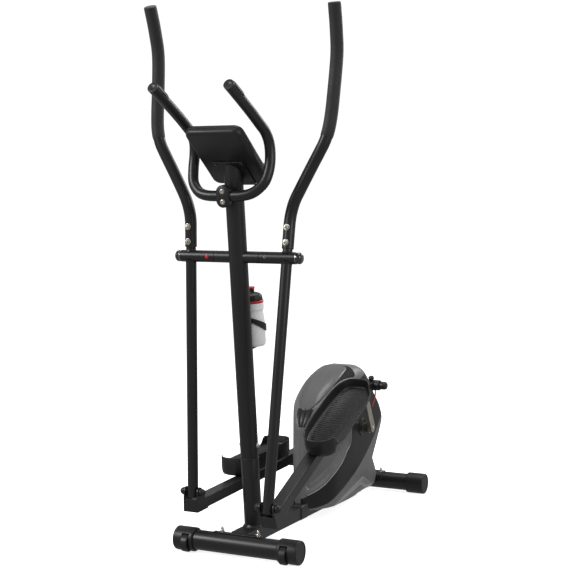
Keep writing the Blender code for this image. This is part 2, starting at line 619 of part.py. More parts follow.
def pedal_ring(inset, height, outer_inset=None, outer_height=None, steps=32):
    """Points round the pedal: its outer side may have an inset and a height of its own."""
    middle_x, half_x = sum(PEDAL_X) / 2, (PEDAL_X[1] - PEDAL_X[0]) / 2
    middle_u, half_u = sum(PEDAL_U) / 2, (PEDAL_U[1] - PEDAL_U[0]) / 2
    found = []
    for i in range(steps):
        turn = 2 * math.pi * i / steps
        c, s = math.cos(turn), math.sin(turn)
        round_off = (abs(c) ** 3.2 + abs(s) ** 3.2) ** (-1 / 3.2)
        x_part, u_part = c * round_off, s * round_off
        blend = 0.0
        if outer_inset is not None:
            outwards = min(max((x_part - 0.35) / 0.45, 0.0), 1.0)
            blend = outwards * min(max((0.86 - abs(u_part)) / 0.14, 0.0), 1.0)
        draw = inset + blend * ((outer_inset or 0) - inset)
        level = height + blend * ((outer_height or 0) - height)
        x = middle_x + x_part * (half_x - draw)
        found.append(Vector((x, middle_u + u_part * (half_u - draw), level)))
    return found


def build_pedal(side_name, side):
    """An oval tray with a high wall in front, behind and on its inner side, and an open outer side."""
    at, tilt, _ = bar_place(side_name, side)
    low = BAR_W[1] + GAP
    rings = [pedal_ring(0.010, low, 0.052, low)]
    rings += [pedal_ring(0.002, low + 0.010, 0.020, low + 0.012)]
    rings += [pedal_ring(0.0, low + 0.022, 0.0, PEDAL_FLOOR - 0.004)]
    rings += [pedal_ring(0.0, PEDAL_RIM, 0.0, PEDAL_FLOOR + 0.002)]
    rings += [pedal_ring(0.0035, PEDAL_RIM, 0.0035, PEDAL_FLOOR + 0.002)]
    rings += [pedal_ring(0.0070, PEDAL_FLOOR, 0.0045, PEDAL_FLOOR)]
    rings = [mirrored(ring, side) for ring in rings]
    add_object("pedal_" + side_name, skin(rings), "black_plastic", at, tilt)


def build_crank_arm(side_name, side):
    at = (0, CRANK_Y, CRANK_Z)
    tilt = CRANK_ANGLE if side > 0 else CRANK_ANGLE + math.pi
    outline = arc((0, 0), 0.0165, 180, 360, 10) + arc((0, CRANK_THROW), 0.0145, 0, 180, 10)
    flat = plate(outline, *spans(side, CRANK_X))
    arm = add_object("crank_arm_" + side_name, flat, "nickel", at, tilt)
    join(arm, "boss", rod(*spans(side, (0.0835, CRANK_X[1] - 0.002)), 0.0160))
    cut(arm, "axle_bore", rod(*spans(side, (0.07, CRANK_X[0] - 0.0005)), 0.0103))


def build_drive():
    """The crank axle, belt drive, flywheel and magnet bracket inside the shroud."""
    axle = rod(-CRANK_X[0] + 0.0008, CRANK_X[0] - 0.0008, 0.010)
    add_object("crank_axle", axle, "steel", (0, CRANK_Y, CRANK_Z))
    pulley = [(0.010, 0.0200), (0.015, 0.0200), (0.012, 0.0840), (0.012, PULLEY_RADIUS)]
    pulley += [(0.026, PULLEY_RADIUS), (0.026, 0.0840), (0.023, 0.0200), (0.028, 0.0200)]
    pulley += [(0.028, 0.0103), (0.010, 0.0103)]
    add_object("crank_pulley", turned(pulley, looped=True, steps=24), "black_plastic", (0, CRANK_Y, CRANK_Z))

    wheel = [(-0.048, 0.0120), (-0.040, 0.0120), (-0.040, FLYWHEEL_RADIUS), (-0.008, FLYWHEEL_RADIUS)]
    wheel += [(-0.008, SMALL_PULLEY_RADIUS), (0.026, SMALL_PULLEY_RADIUS), (0.0285, 0.0100)]
    wheel += [(0.0285, 0.0063), (-0.048, 0.0063)]
    at = (0, FLYWHEEL_Y, FLYWHEEL_Z)
    add_object("flywheel", turned(wheel, looped=True, steps=24), "steel", at)
    shaft = [(-0.0650, 0.0060), (-0.0640, 0.0095), (-0.0563, 0.0095), (-0.0563, 0.0060)]
    shaft += [(0.0343, 0.0060), (0.0343, 0.0095), (0.0420, 0.0095), (0.0430, 0.0060)]
    add_object("flywheel_axle", turned(shaft, steps=12), "steel", at)

    rings = []
    for x, extra in ((BELT_X[0], 0.0028), (BELT_X[1], 0.0028), (BELT_X[1], 0.0008), (BELT_X[0], 0.0008)):
        rings.append([Vector((x, y, z)) for y, z in belt_outline(extra)])
    add_object("drive_belt", skin(rings, looped=True), "rubber")

    y, z = magnet_pivot()
    centre = (FLYWHEEL_Y - y, FLYWHEEL_Z - z)
    outline = arc(centre, 0.0925, 70, 160, 14) + arc(centre, 0.0985, 160, 70, 14)
    bracket = add_object("magnet_bracket", plate(outline, -0.038, -0.010), "steel", (0, y, z))
    join(bracket, "pivot_pin", rod(-0.0590, 0.0370, 0.0040, steps=16))


def magnet_pivot():
    return arc((FLYWHEEL_Y, FLYWHEEL_Z), 0.0955, 70, 70, 1)[0]


def belt_outline(extra):
    """The belt's closed path round both pulleys, clear of them by extra."""
    big, small = PULLEY_RADIUS + extra, SMALL_PULLEY_RADIUS + extra
    run, rise = FLYWHEEL_Y - CRANK_Y, FLYWHEEL_Z - CRANK_Z
    heading = math.degrees(math.atan2(rise, run))
    lean = math.degrees(math.acos((big - small) / math.hypot(run, rise)))
    path = arc((CRANK_Y, CRANK_Z), big, heading + lean, heading + 360 - lean, 28)
    return path + arc((FLYWHEEL_Y, FLYWHEEL_Z), small, heading - lean, heading + lean, 10)


# Shroud.

def shroud_outline():
    """(y, z) points of the shroud's side, from the front foot up over the top and down the back."""
    return [(0.420, 0.048), (0.404, 0.070), (0.402, 0.110), (0.405, 0.160), (0.4125, 0.207),
            (0.4235, 0.2715), (0.4365, 0.329), (0.4600, 0.368), (0.4955, 0.402), (0.5450, 0.436),
            (0.6075, 0.464), (0.6840, 0.484), (0.7450, 0.489), (0.7950, 0.478), (0.8350, 0.442),
            (0.8750, 0.380), (0.9120, 0.327), (0.9330, 0.290), (0.9260, 0.262), (0.8950, 0.215),
            (0.8500, 0.153), (0.8800, 0.103), (0.8700, 0.064), (0.8450, 0.052), (0.7700, 0.052),
            (0.6700, 0.044), (0.5170, 0.042)]


def inset_outline(outline, distances):
    """The outline moved inwards by a distance for each point; it runs clockwise as seen from +X."""
    found = []
    for i, point in enumerate(outline):
        here = Vector(point)
        before = (here - Vector(outline[i - 1])).normalized()
        after = (Vector(outline[(i + 1) % len(outline)]) - here).normalized()
        bisector = (before + after).normalized()
        inwards = Vector((bisector.y, -bisector.x))
        stretch = max(inwards.dot(Vector((after.y, -after.x))), 0.5)
        found.append(tuple(here + inwards * distances[i] / stretch))
    return found


def edge_sizes():
    """How wide the sloped edge is at each point of the outline: small but for the shoulder."""
    sizes = []
    for y, z in shroud_outline():
        share = min(max((z - 0.355) / 0.060, 0.0), 1.0)
        sizes.append(SHROUD_FILLET + share * (SHOULDER_SLOPE - SHROUD_FILLET))
    return sizes


def shroud_body(side, start, inset):
    """Half of the shroud as a solid, from x = start out to its side, drawn in by inset all round."""
    width = SHROUD_HALF_WIDTH - inset
    outline, sizes = shroud_outline(), edge_sizes()
    rings = []
    for outwards, inwards in ((None, 0.0), (1.0, 0.0), (0.35, 0.45), (0.0, 1.0)):
        points = inset_outline(outline, [inset + inwards * size for size in sizes])
        xs = [start if outwards is None else width - outwards * size for size in sizes]
        rings.append([Vector((x, y, z)) for x, (y, z) in zip(xs, points)])
    bm = skin(rings)
    bmesh.ops.triangulate(bm, faces=bm.faces)
    normal = Vector((math.cos(NOSE_FLANK), -math.sin(NOSE_FLANK), 0))
    through = Vector((NOSE_HALF_WIDTH, NOSE_Y, 0)) - normal * inset
    geometry = bm.verts[:] + bm.edges[:] + bm.faces[:]
    made = bmesh.ops.bisect_plane(bm, geom=geometry, plane_co=through, plane_no=normal, clear_outer=True)
    edges = [item for item in made["geom_cut"] if isinstance(item, bmesh.types.BMEdge)]
    bmesh.ops.edgeloop_fill(bm, edges=edges)
    if side < 0:
        bmesh.ops.transform(bm, matrix=Matrix.Diagonal((-1, 1, 1, 1)), verts=bm.verts)
    bmesh.ops.recalc_face_normals(bm, faces=bm.faces)
    return bm


def top_run(inset, first=6, last=13):
    """The part of the outline that the top cover follows."""
    outline = shroud_outline()
    return inset_outline(outline, [inset] * len(outline))[first:last]


def cover_leaf(grow):
    """A prism whose section is the cover's leaf shape, square to the middle of the shroud's shoulder."""
    right = [(half + grow, along) for along, half in COVER_LEAF]
    right[0] = (right[0][0], right[0][1] - grow)
    right[-1] = (right[-1][0], right[-1][1] + grow)
    section = right + [(-x, along) for x, along in right[::-1]]
    root = math.sqrt(0.5)
    rings = []
    for depth in (0.0, 0.30):
        rings.append([Vector((x, (along + depth) * root, (along - depth) * root)) for x, along in section])
    return skin(rings)


def build_shroud(side_name, side):
    name = "shroud_" + side_name
    shell = add_object(name, shroud_body(side, 0.0002, 0.0), "grey_plastic")
    cut(shell, "hollow", shroud_body(side, -0.01, SHROUD_WALL))
    rail_low, rail_high = spans(side, (-0.01, RAIL_HALF_WIDTH + 0.0008))
    cut(shell, "rail_slot", box((rail_low, 0.30, -0.05), (rail_high, 1.00, RAIL_Z[1] + 0.0008)))
    hole = rod(*spans(side, (0.06, 0.10)), 0.024, centre=(0, CRANK_Y, CRANK_Z), steps=20)
    cut(shell, "crank_hole", hole)
    room = top_run(-0.012) + top_run(0.0065)[::-1]
    tool = cut(shell, "cover_room", plate(room, *spans(side, (-0.01, 0.0600))))
    helper(tool, "leaf", cover_leaf(0.0005), "INTERSECT")


def build_top_cover():
    arch = top_run(0.0)[::-1] + top_run(0.003)
    cover = add_object("top_cover", plate(arch, -0.0600, 0.0600), "light_plastic")
    helper(cover, "leaf", cover_leaf(0.0), "INTERSECT")


def main():
    build_rail()
    build_mast()
    build_crossbar()
    for end, y in (("front", 0.0), ("rear", REAR_STABILISER_Y)):
        build_stabiliser(end + "_stabiliser", y)
    build_saddle("front_saddle", 0.0, 0.081, 12, 104)
    build_saddle("rear_saddle", REAR_STABILISER_Y, 0.050, 76, 168)
    build_handlebar()
    build_console()
    build_bottle()
    build_drive()
    for side_name, side in SIDES.items():
        build_transport_wheel(side_name, side)
        build_cap("rear_cap_" + side_name, side, REAR_STABILISER_Y)
        build_pulse_sensor(side_name, side)
        build_arm(side_name, side)
        build_pedal_bar(side_name, side)
        build_pedal(side_name, side)
        build_crank_arm(side_name, side)
        build_shroud(side_name, side)
    build_top_cover()


clear_scene()
machine = bpy.data.objects.new("machine", None)
machine.location = (0.0, FOOTPRINT_SHIFT_Y, 0.0)
bpy.context.scene.collection.objects.link(machine)
main()
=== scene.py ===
"""Looks for the elliptical trainer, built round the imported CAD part."""

import json
import math

import bmesh
import bpy
from mathutils import Matrix, Vector


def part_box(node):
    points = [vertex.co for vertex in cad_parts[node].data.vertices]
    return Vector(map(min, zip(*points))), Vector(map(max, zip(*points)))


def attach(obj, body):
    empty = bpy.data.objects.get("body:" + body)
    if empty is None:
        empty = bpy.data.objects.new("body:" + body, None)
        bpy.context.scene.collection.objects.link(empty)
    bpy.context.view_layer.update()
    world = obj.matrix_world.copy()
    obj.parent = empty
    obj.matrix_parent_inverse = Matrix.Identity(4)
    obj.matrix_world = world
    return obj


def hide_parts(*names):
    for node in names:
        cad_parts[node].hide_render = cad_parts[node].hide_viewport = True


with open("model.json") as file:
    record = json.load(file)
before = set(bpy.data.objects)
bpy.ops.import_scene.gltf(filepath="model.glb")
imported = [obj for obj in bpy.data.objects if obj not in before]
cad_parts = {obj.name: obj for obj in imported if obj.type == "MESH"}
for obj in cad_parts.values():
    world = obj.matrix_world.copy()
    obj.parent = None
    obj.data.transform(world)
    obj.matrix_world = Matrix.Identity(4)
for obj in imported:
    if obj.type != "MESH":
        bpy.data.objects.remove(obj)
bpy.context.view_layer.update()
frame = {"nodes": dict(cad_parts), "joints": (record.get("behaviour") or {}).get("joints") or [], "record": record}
nodes = frame["nodes"]
joint_at = {j["name"]: Vector(j["pos_m"]) for j in frame["joints"] if "pos_m" in j}
SIDES = {"left": 1, "right": -1}


# Places. Each is a matrix from a piece's own frame to the row frame, X staying along the machine's axles.

def place(y, z, tilt=0.0):
    return Matrix.Translation((0, y, z)) @ Matrix.Rotation(tilt, 4, "X")


def middle(node):
    low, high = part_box(node)
    return (low + high) / 2


PIVOT = joint_at["arm_swing_left"]
CRANK = joint_at["crank_spin"]
WHEEL = joint_at["transport_wheel_spin_left"]
FRONT = middle("front_stabiliser")
REAR = middle("rear_stabiliser")
ZERO_Y = FRONT.y
MAST_TILT = math.atan2(0.0946, 0.8168)
MAST = place(ZERO_Y + 0.0989, 0.0700, MAST_TILT)
CONSOLE_TILT = math.radians(-37.1)
CONSOLE = place(ZERO_Y - 0.161, 1.239, CONSOLE_TILT)
MACHINE = place(ZERO_Y, 0.0)
BAR_RISE = math.radians(6.7)
HANDLEBAR_LOW = Vector((0, -0.0715, 1.0645))    # the middle of the handlebar, in its clamp
BOTTLE_FOOT = Vector((0, 0.0715, 0.543))        # in the mast's own frame
PLUG_X = 0.0955                 # the small plugs in the sleeves of the arms
RAIL_HEIGHT = 0.040
RAIL_HALF_WIDTH = 0.0273
TUBE_X = 0.1585                 # the arms and pedal bars, either side of the middle
MAST_RADIUS = 0.0275
SHROUD_HALF_WIDTH = 0.0795
SHROUD_FILLET = 0.0120          # the shroud's rounded edge, below the shoulder
SHOULDER_RADIUS = 0.0490


def arm_place(side_name):
    reach = joint_at["bar_pivot_" + side_name] - PIVOT
    return place(PIVOT.y, PIVOT.z, math.atan2(reach.y, -reach.z))


def bar_place(side_name):
    front = joint_at["bar_pivot_" + side_name]
    reach = middle("crank_pin_" + side_name) - front
    return place(front.y, front.z, math.atan2(reach.z, reach.y) + BAR_RISE)


def crank_pin_local(side_name):
    """(u, w) of the crank pin in the bar's frame."""
    point = bar_place(side_name).inverted() @ middle("crank_pin_" + side_name)
    return point.y, point.z


def crank_place(side_name):
    reach = middle("crank_pin_" + side_name) - CRANK
    return place(CRANK.y, CRANK.z, math.atan2(-reach.y, reach.z))


# Materials.

def new_material(name, colour, rough, metal=0.0, specular=0.5):
    mat = bpy.data.materials.new(name)
    mat.use_nodes = True
    tree = mat.node_tree
    shader = tree.nodes["Principled BSDF"]
    shader.inputs["Base Color"].default_value = (*colour, 1)
    shader.inputs["Roughness"].default_value = rough
    shader.inputs["Metallic"].default_value = metal
    shader.inputs["Specular IOR Level"].default_value = specular
    mat["plain_colour"] = list(colour)
    return mat, tree, shader


def noise(tree, scale, detail=4.0, rough=0.55, stretch=(1, 1, 1)):
    """A noise texture in the object's own metres."""
    coordinates = tree.nodes.new("ShaderNodeTexCoord")
    mapping = tree.nodes.new("ShaderNodeMapping")
    mapping.inputs["Scale"].default_value = stretch
    texture = tree.nodes.new("ShaderNodeTexNoise")
    texture.inputs["Scale"].default_value = scale
    texture.inputs["Detail"].default_value = detail
    texture.inputs["Roughness"].default_value = rough
    tree.links.new(coordinates.outputs["Object"], mapping.inputs["Vector"])
    tree.links.new(mapping.outputs["Vector"], texture.inputs["Vector"])
    return texture.outputs["Fac"]


def ramp(tree, source, stops):
    made = tree.nodes.new("ShaderNodeValToRGB")
    band = made.color_ramp
    while len(band.elements) < len(stops):
        band.elements.new(0.5)
    for element, (position, colour) in zip(band.elements, stops):
        element.position = position
        element.color = (*colour, 1) if len(colour) == 3 else colour
    tree.links.new(source, made.inputs["Fac"])
    return made.outputs["Color"]


def grey(value):
    return (value, value, value)


def bump(tree, shader, source, strength, distance):
    made = tree.nodes.new("ShaderNodeBump")
    made.inputs["Strength"].default_value = strength
    made.inputs["Distance"].default_value = distance
    tree.links.new(source, made.inputs["Height"])
    previous = shader.inputs["Normal"]
    if previous.is_linked:
        tree.links.new(previous.links[0].from_socket, made.inputs["Normal"])
    tree.links.new(made.outputs["Normal"], shader.inputs["Normal"])


def vary(tree, shader, colour, amount, scale, rough, rough_swing):
    """Slight unevenness in colour and gloss."""
    source = noise(tree, scale)
    low = tuple(c * (1 - amount) for c in colour)
    high = tuple(c * (1 + amount) for c in colour)
    tree.links.new(ramp(tree, source, [(0.3, low), (0.7, high)]), shader.inputs["Base Color"])
    smear = noise(tree, scale * 0.4, 3.0)
    stops = [(0.3, grey(rough - rough_swing)), (0.7, grey(rough + rough_swing))]
    tree.links.new(ramp(tree, smear, stops), shader.inputs["Roughness"])


def painted_edge_highlight(tree, shader, colour, highlight_colour, share=0.5):
    """A painted edge highlight: lighter colour along sharp edges, over whatever colours the surface."""
    geometry = tree.nodes.new("ShaderNodeNewGeometry")
    edge = ramp(tree, geometry.outputs["Pointiness"], [(0.52, grey(0)), (0.60, grey(share))])
    mix = tree.nodes.new("ShaderNodeMix")
    mix.data_type = "RGBA"
    socket = shader.inputs["Base Color"]
    if socket.is_linked:
        tree.links.new(socket.links[0].from_socket, mix.inputs["A"])
    else:
        mix.inputs["A"].default_value = (*colour, 1)
    mix.inputs["B"].default_value = (*highlight_colour, 1)
    tree.links.new(edge, mix.inputs["Factor"])
    tree.links.new(mix.outputs["Result"], socket)


def powder_coat(name, colour, rough=0.42):
    mat, tree, shader = new_material(name, colour, rough, specular=0.36)
    vary(tree, shader, colour, 0.14, 9, rough, 0.04)
    bump(tree, shader, noise(tree, 260, 2.0), 0.02, 0.0003)
    # Painted edge highlight: lighter colour along sharp edges.
    painted_edge_highlight(tree, shader, colour, tuple(c * 1.8 for c in colour), 0.5)
    shader.inputs["Coat Weight"].default_value = 0.06
    shader.inputs["Coat Roughness"].default_value = 0.35
    return mat


def moulded(name, colour, rough=0.48, grain=0.22, specular=0.36):
    mat, tree, shader = new_material(name, colour, rough, specular=specular)
    vary(tree, shader, colour, 0.10, 14, rough, 0.05)
    bump(tree, shader, noise(tree, 900, 2.0), grain * 0.3, 0.0002)
    # Painted edge highlight: lighter colour along sharp edges.
    painted_edge_highlight(tree, shader, colour, tuple(c * 1.5 + 0.004 for c in colour), 0.4)
    return mat


def glossy(name, colour, rough=0.22, coat=0.5):
    mat, tree, shader = new_material(name, colour, rough)
    vary(tree, shader, colour, 0.05, 6, rough, 0.03)
    bump(tree, shader, noise(tree, 60, 2.0), 0.02, 0.0008)
    shader.inputs["Coat Weight"].default_value = coat
    shader.inputs["Coat Roughness"].default_value = 0.12
    return mat


def foam_rubber(name, colour):
    mat, tree, shader = new_material(name, colour, 0.62, specular=0.32)
    vary(tree, shader, colour, 0.22, 60, 0.62, 0.06)
    coordinates = tree.nodes.new("ShaderNodeTexCoord")
    cells = tree.nodes.new("ShaderNodeTexVoronoi")
    cells.inputs["Scale"].default_value = 1300
    tree.links.new(coordinates.outputs["Object"], cells.inputs["Vector"])
    bump(tree, shader, cells.outputs["Distance"], 0.14, 0.0004)
    bump(tree, shader, noise(tree, 240, 2.0), 0.06, 0.0006)
    shader.inputs["Sheen Weight"].default_value = 0.15
    shader.inputs["Sheen Roughness"].default_value = 0.6
    return mat


def plated(name, colour, rough=0.26, brushed=(1, 1, 1), strength=0.06):
    mat, tree, shader = new_material(name, colour, rough, metal=1.0)
    vary(tree, shader, colour, 0.12, 30, rough, 0.07)
    bump(tree, shader, noise(tree, 420, 3.0, stretch=brushed), strength, 0.0004)
    return mat


def translucent(name, colour):
    mat, tree, shader = new_material(name, colour, 0.34)
    vary(tree, shader, colour, 0.03, 20, 0.34, 0.04)
    bump(tree, shader, noise(tree, 120, 2.0), 0.06, 0.0006)
    shader.inputs["Subsurface Weight"].default_value = 0.25
    shader.inputs["Subsurface Radius"].default_value = (0.01, 0.01, 0.01)
    shader.inputs["Subsurface Scale"].default_value = 0.4
    return mat


def screen_glass(name):
    """A grey-green display under clear glass."""
    mat, tree, shader = new_material(name, (0.2, 0.25, 0.22), 0.08)
    coordinates = tree.nodes.new("ShaderNodeTexCoord")
    wave = tree.nodes.new("ShaderNodeTexWave")
    wave.inputs["Scale"].default_value = 260
    wave.bands_direction = "X"
    tree.links.new(coordinates.outputs["Object"], wave.inputs["Vector"])
    stops = [(0.2, (0.175, 0.222, 0.192)), (0.8, (0.205, 0.256, 0.224))]
    tree.links.new(ramp(tree, wave.outputs["Fac"], stops), shader.inputs["Base Color"])
    smear = ramp(tree, noise(tree, 30), [(0.4, grey(0.05)), (0.7, grey(0.16))])
    tree.links.new(smear, shader.inputs["Roughness"])
    shader.inputs["Coat Weight"].default_value = 1.0
    shader.inputs["Coat Roughness"].default_value = 0.03
    return mat


PAINT = powder_coat("satin_black_coat", (0.0085, 0.0085, 0.0088), 0.36)
PLASTIC = moulded("moulded_black", (0.0100, 0.0100, 0.0104), 0.42)
PEDAL = moulded("pedal_black", (0.0095, 0.0095, 0.0098), 0.40, 0.2)
RUBBER = moulded("belt_rubber", (0.022, 0.022, 0.022), 0.75, 0.4)
FOAM = foam_rubber("foam_black", (0.0078, 0.0078, 0.0080))
GREY = moulded("shroud_grey", (0.125, 0.125, 0.126), 0.38, 0.08, 0.42)
PANEL = glossy("panel_grey", (0.200, 0.199, 0.198), 0.24, 0.35)
BAND = moulded("band_black", (0.0062, 0.0062, 0.0064), 0.40, 0.1, 0.28)
TOP = glossy("top_cover_grey", (0.080, 0.080, 0.082), 0.42, 0.15)
FLUTE = moulded("flute_grey", (0.014, 0.014, 0.0145), 0.34, 0.1)
RED = glossy("red_gloss", (0.52, 0.008, 0.010), 0.30, 0.3)
NICKEL = plated("nickel_plate", (0.42, 0.39, 0.34), 0.34, (1, 1, 0.08))
STEEL = plated("bare_steel", (0.36, 0.36, 0.37), 0.36, (0.1, 1, 1), 0.1)
ZINC = plated("zinc_screw", (0.62, 0.59, 0.53), 0.26)
SENSOR = plated("sensor_plate", (0.06, 0.06, 0.06), 0.34)
BOTTLE = translucent("bottle_white", (0.80, 0.80, 0.80))
RIM = glossy("rim_grey", (0.185, 0.185, 0.186), 0.28, 0.3)
GLOSS_BLACK = glossy("gloss_black", (0.006, 0.006, 0.006), 0.16, 0.8)
BLACK_PLATE = plated("black_nickel", (0.10, 0.10, 0.10), 0.30)
LENS = screen_glass("screen")
BUTTON = moulded("button_grey", (0.095, 0.096, 0.100), 0.5, 0.2)
# Painted shade: a dark sheet laid over the slot round the hood.
PAINTED_SHADE = moulded("shadow_black", (0.006, 0.006, 0.006), 0.7, 0.1, 0.2)

CAD_FINISH = {
    "black_paint": PAINT, "black_plastic": PLASTIC, "pedal_plastic": PEDAL, "foam": FOAM,
    "grey_plastic": GREY, "top_plastic": TOP, "crank_nickel": NICKEL, "steel": STEEL,
    "sensor_plate": SENSOR, "rubber": RUBBER, "bottle_plastic": BOTTLE, "red_plastic": RED,
    "lcd_glass": LENS, "button_plastic": BUTTON,
}
SLOT_OF = {mat: slot for slot, mat in CAD_FINISH.items()}
SLOT_OF.update({BAND: "black_plastic", PAINTED_SHADE: "black_plastic", FLUTE: "black_plastic",
                GLOSS_BLACK: "black_plastic", PANEL: "grey_plastic", RIM: "grey_plastic",
                ZINC: "steel", BLACK_PLATE: "steel"})


def dress_cad_nodes():
    """Gives every CAD node its finish, soft edges and smooth rounds."""
    for entry in frame["record"]["subparts"]:
        obj = nodes[entry["node"]]
        mesh = obj.data
        mesh.materials.clear()
        mesh.materials.append(CAD_FINISH[entry["material_slot"]])
        for name in ("custom_normal", "sharp_edge", "sharp_face"):
            if name in mesh.attributes:
                mesh.attributes.remove(mesh.attributes[name])
        mesh.shade_smooth()
        weld = obj.modifiers.new("weld", "WELD")
        weld.merge_threshold = 0.00002
        soften(obj, 0.0007)


def soften(obj, width, segments=2):
    edge = obj.modifiers.new("soft_edge", "BEVEL")
    edge.width = width
    edge.segments = segments
    edge.limit_method = "ANGLE"
    edge.angle_limit = math.radians(34)
    edge.use_clamp_overlap = True
    normal = obj.modifiers.new("normal", "WEIGHTED_NORMAL")
    normal.keep_sharp = True


# Mesh helpers. They make a bmesh in a piece's own frame.

def circle(centre, radius, axis, steps=48, turn=0.0):
    found = []
    for i in range(steps):
        angle = turn + 2 * math.pi * i / steps
        a, b = radius * math.cos(angle), radius * math.sin(angle)
        offset = {"X": (0, a, b), "Y": (b, 0, a), "Z": (a, b, 0)}[axis]
        found.append(Vector(centre) + Vector(offset))
    return found


def skin(rings, looped=False, into=None):
    bm = into or bmesh.new()
    loops = [[bm.verts.new(point) for point in ring] for ring in rings]
    pairs = list(zip(loops, loops[1:]))
    if looped:
        pairs.append((loops[-1], loops[0]))
    for low, high in pairs:
        for i, start in enumerate(low):
            j = (i + 1) % len(low)
            bm.faces.new((start, low[j], high[j], high[i]))
    if not looped:
        bm.faces.new(loops[0])
        bm.faces.new(loops[-1])
    return bm


def turned(profile, axis="X", centre=(0, 0, 0), looped=False, steps=48, into=None, turn=0.0):
    unit = Vector({"X": (1, 0, 0), "Y": (0, 1, 0), "Z": (0, 0, 1)}[axis])
    rings = [circle(Vector(centre) + unit * along, radius, axis, steps, turn) for along, radius in profile]
    return skin(rings, looped, into)


def rod(start, end, radius, axis="X", centre=(0, 0, 0), edge=0.0, steps=48, into=None):
    """A solid round bar with small chamfers."""
    profile = [(start, radius), (end, radius)]
    if edge:
        sign = 1 if end > start else -1
        profile = [(start, radius - edge), (start + sign * edge, radius), (end - sign * edge, radius),
                   (end, radius - edge)]
    return turned(profile, axis, centre, steps=steps, into=into)


def block(low, high, into=None):
    rings = []
    for z in (low[2], high[2]):
        rings.append([Vector(p) for p in ((low[0], low[1], z), (high[0], low[1], z),
                                          (high[0], high[1], z), (low[0], high[1], z))])
    return skin(rings, into=into)


def plate(outline, x_low, x_high, into=None):
    return skin([[Vector((x, y, z)) for y, z in outline] for x in (x_low, x_high)], into=into)


def arc(centre, radius, start, end, steps):
    found = []
    for i in range(steps + 1):
        turn = math.radians(start + (end - start) * i / steps)
        found.append((centre[0] + radius * math.cos(turn), centre[1] + radius * math.sin(turn)))
    return found


def curve_through(points, per_span, closed=False):
    """Catmull-Rom through points of any size."""
    given = [Vector(point) for point in points]
    if closed:
        padded = [given[-1], *given, given[0], given[1]]
    else:
        padded = [2 * given[0] - given[1], *given, 2 * given[-1] - given[-2]]
    found = []
    for a, b, c, d in zip(padded, padded[1:], padded[2:], padded[3:]):
        for i in range(per_span):
            t = i / per_span
            found.append(0.5 * (2 * b + (c - a) * t + (2 * a - 5 * b + 4 * c - d) * t**2
                                + (3 * b - a - 3 * c + d) * t**3))
    if not closed:
        found.append(given[-1])
    return found


def path_rings(path, radius, steps):
    """Rings square to a path; radius is a number or a function of the ring's index."""
    rings = []
    across = None
    for i, point in enumerate(path):
        along = (path[min(i + 1, len(path) - 1)] - path[max(i - 1, 0)]).normalized()
        if across is None:
            across = along.orthogonal().normalized()
        across = (across - along * across.dot(along)).normalized()
        other = along.cross(across)
        size = radius(i) if callable(radius) else radius
        turns = [2 * math.pi * k / steps for k in range(steps)]
        rings.append([point + size * (across * math.cos(t) + other * math.sin(t)) for t in turns])
    return rings


def mirrored(points, side):
    return [Vector((side * p[0], p[1], p[2])) for p in points]


def nut(bm, where, outward, size, washer=True, tall=1.0):
    """A washer, hexagon nut and domed bolt end; outward is the direction that it faces."""
    outward = Vector(outward).normalized()
    turn = Vector((0, 0, 1)).rotation_difference(outward).to_matrix().to_4x4()
    base = Matrix.Translation(Vector(where)) @ turn
    start = 0.0
    pieces = []
    if washer:
        pieces.append(turned([(0, size * 1.22), (0.0013, size * 1.22), (0.0017, size * 1.16)], "Z", steps=32))
        start = 0.0017
    high = start + size * 0.62 * tall
    pieces.append(turned([(start, size * 0.93), (start + 0.0008, size), (high - 0.0009, size),
                          (high, size * 0.90)], "Z", steps=6, turn=0.4))
    pieces.append(turned([(high - 0.0004, size * 0.56), (high + size * 0.20 * tall, size * 0.54),
                          (high + size * 0.38 * tall, size * 0.42), (high + size * 0.46 * tall, size * 0.20)],
                         "Z", steps=24))
    for piece_mesh in pieces:
        piece_mesh.transform(base)
        merge(bm, piece_mesh)


def acorn(bm, where, size, height):
    """A tall tapering cap nut that stands straight up on its washer."""
    base = turned([(0, size * 1.3), (0.0014, size * 1.3), (0.0018, size * 1.2)], "Z", where, steps=28)
    flats = [(0.0018, size * 0.95), (0.0024, size), (0.0048, size), (0.0056, size * 0.88)]
    hexagon = turned(flats, "Z", where, steps=6)
    rings = [(0.0054 + (height - 0.0054) * share, size * radius) for share, radius in
             ((0, 0.80), (0.3, 0.74), (0.6, 0.58), (0.85, 0.34), (1.0, 0.12))]
    for made in (base, hexagon, turned(rings, "Z", where, steps=24)):
        merge(bm, made)


def merge(bm, other):
    """Adds other's faces to bm and frees it."""
    copies = {}
    for vert in other.verts:
        copies[vert] = bm.verts.new(vert.co)
    for face in other.faces:
        bm.faces.new([copies[v] for v in face.verts])
    other.free()
    return bm


def smooth_step(value):
    value = min(max(value, 0.0), 1.0)
    return value * value * (3 - 2 * value)


def piece(name, bm, where, body, mat, replaces=(), edge=0.0008, angle=34, segments=2):
    """A finished mesh piece that rides on a body."""
    bmesh.ops.recalc_face_normals(bm, faces=bm.faces)
    mesh = bpy.data.meshes.new(name)
    bm.transform(where)
    bm.to_mesh(mesh)
    bm.free()
    mesh.shade_smooth()
    mesh.materials.append(mat)
    obj = bpy.data.objects.new(name, mesh)
    bpy.context.scene.collection.objects.link(obj)
    if edge:
        soften(obj, edge, segments)
    else:
        mesh.set_sharp_from_angle(angle=math.radians(angle))
    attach(obj, body)
    if replaces:
        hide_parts(*replaces)
    return obj


# Frame.

def slope_rings(radius, along, slope, steps=48):
    return [Vector((p.x, p.y, along + slope * p.y)) for p in circle((0, 0, 0), radius, "Z", steps)]


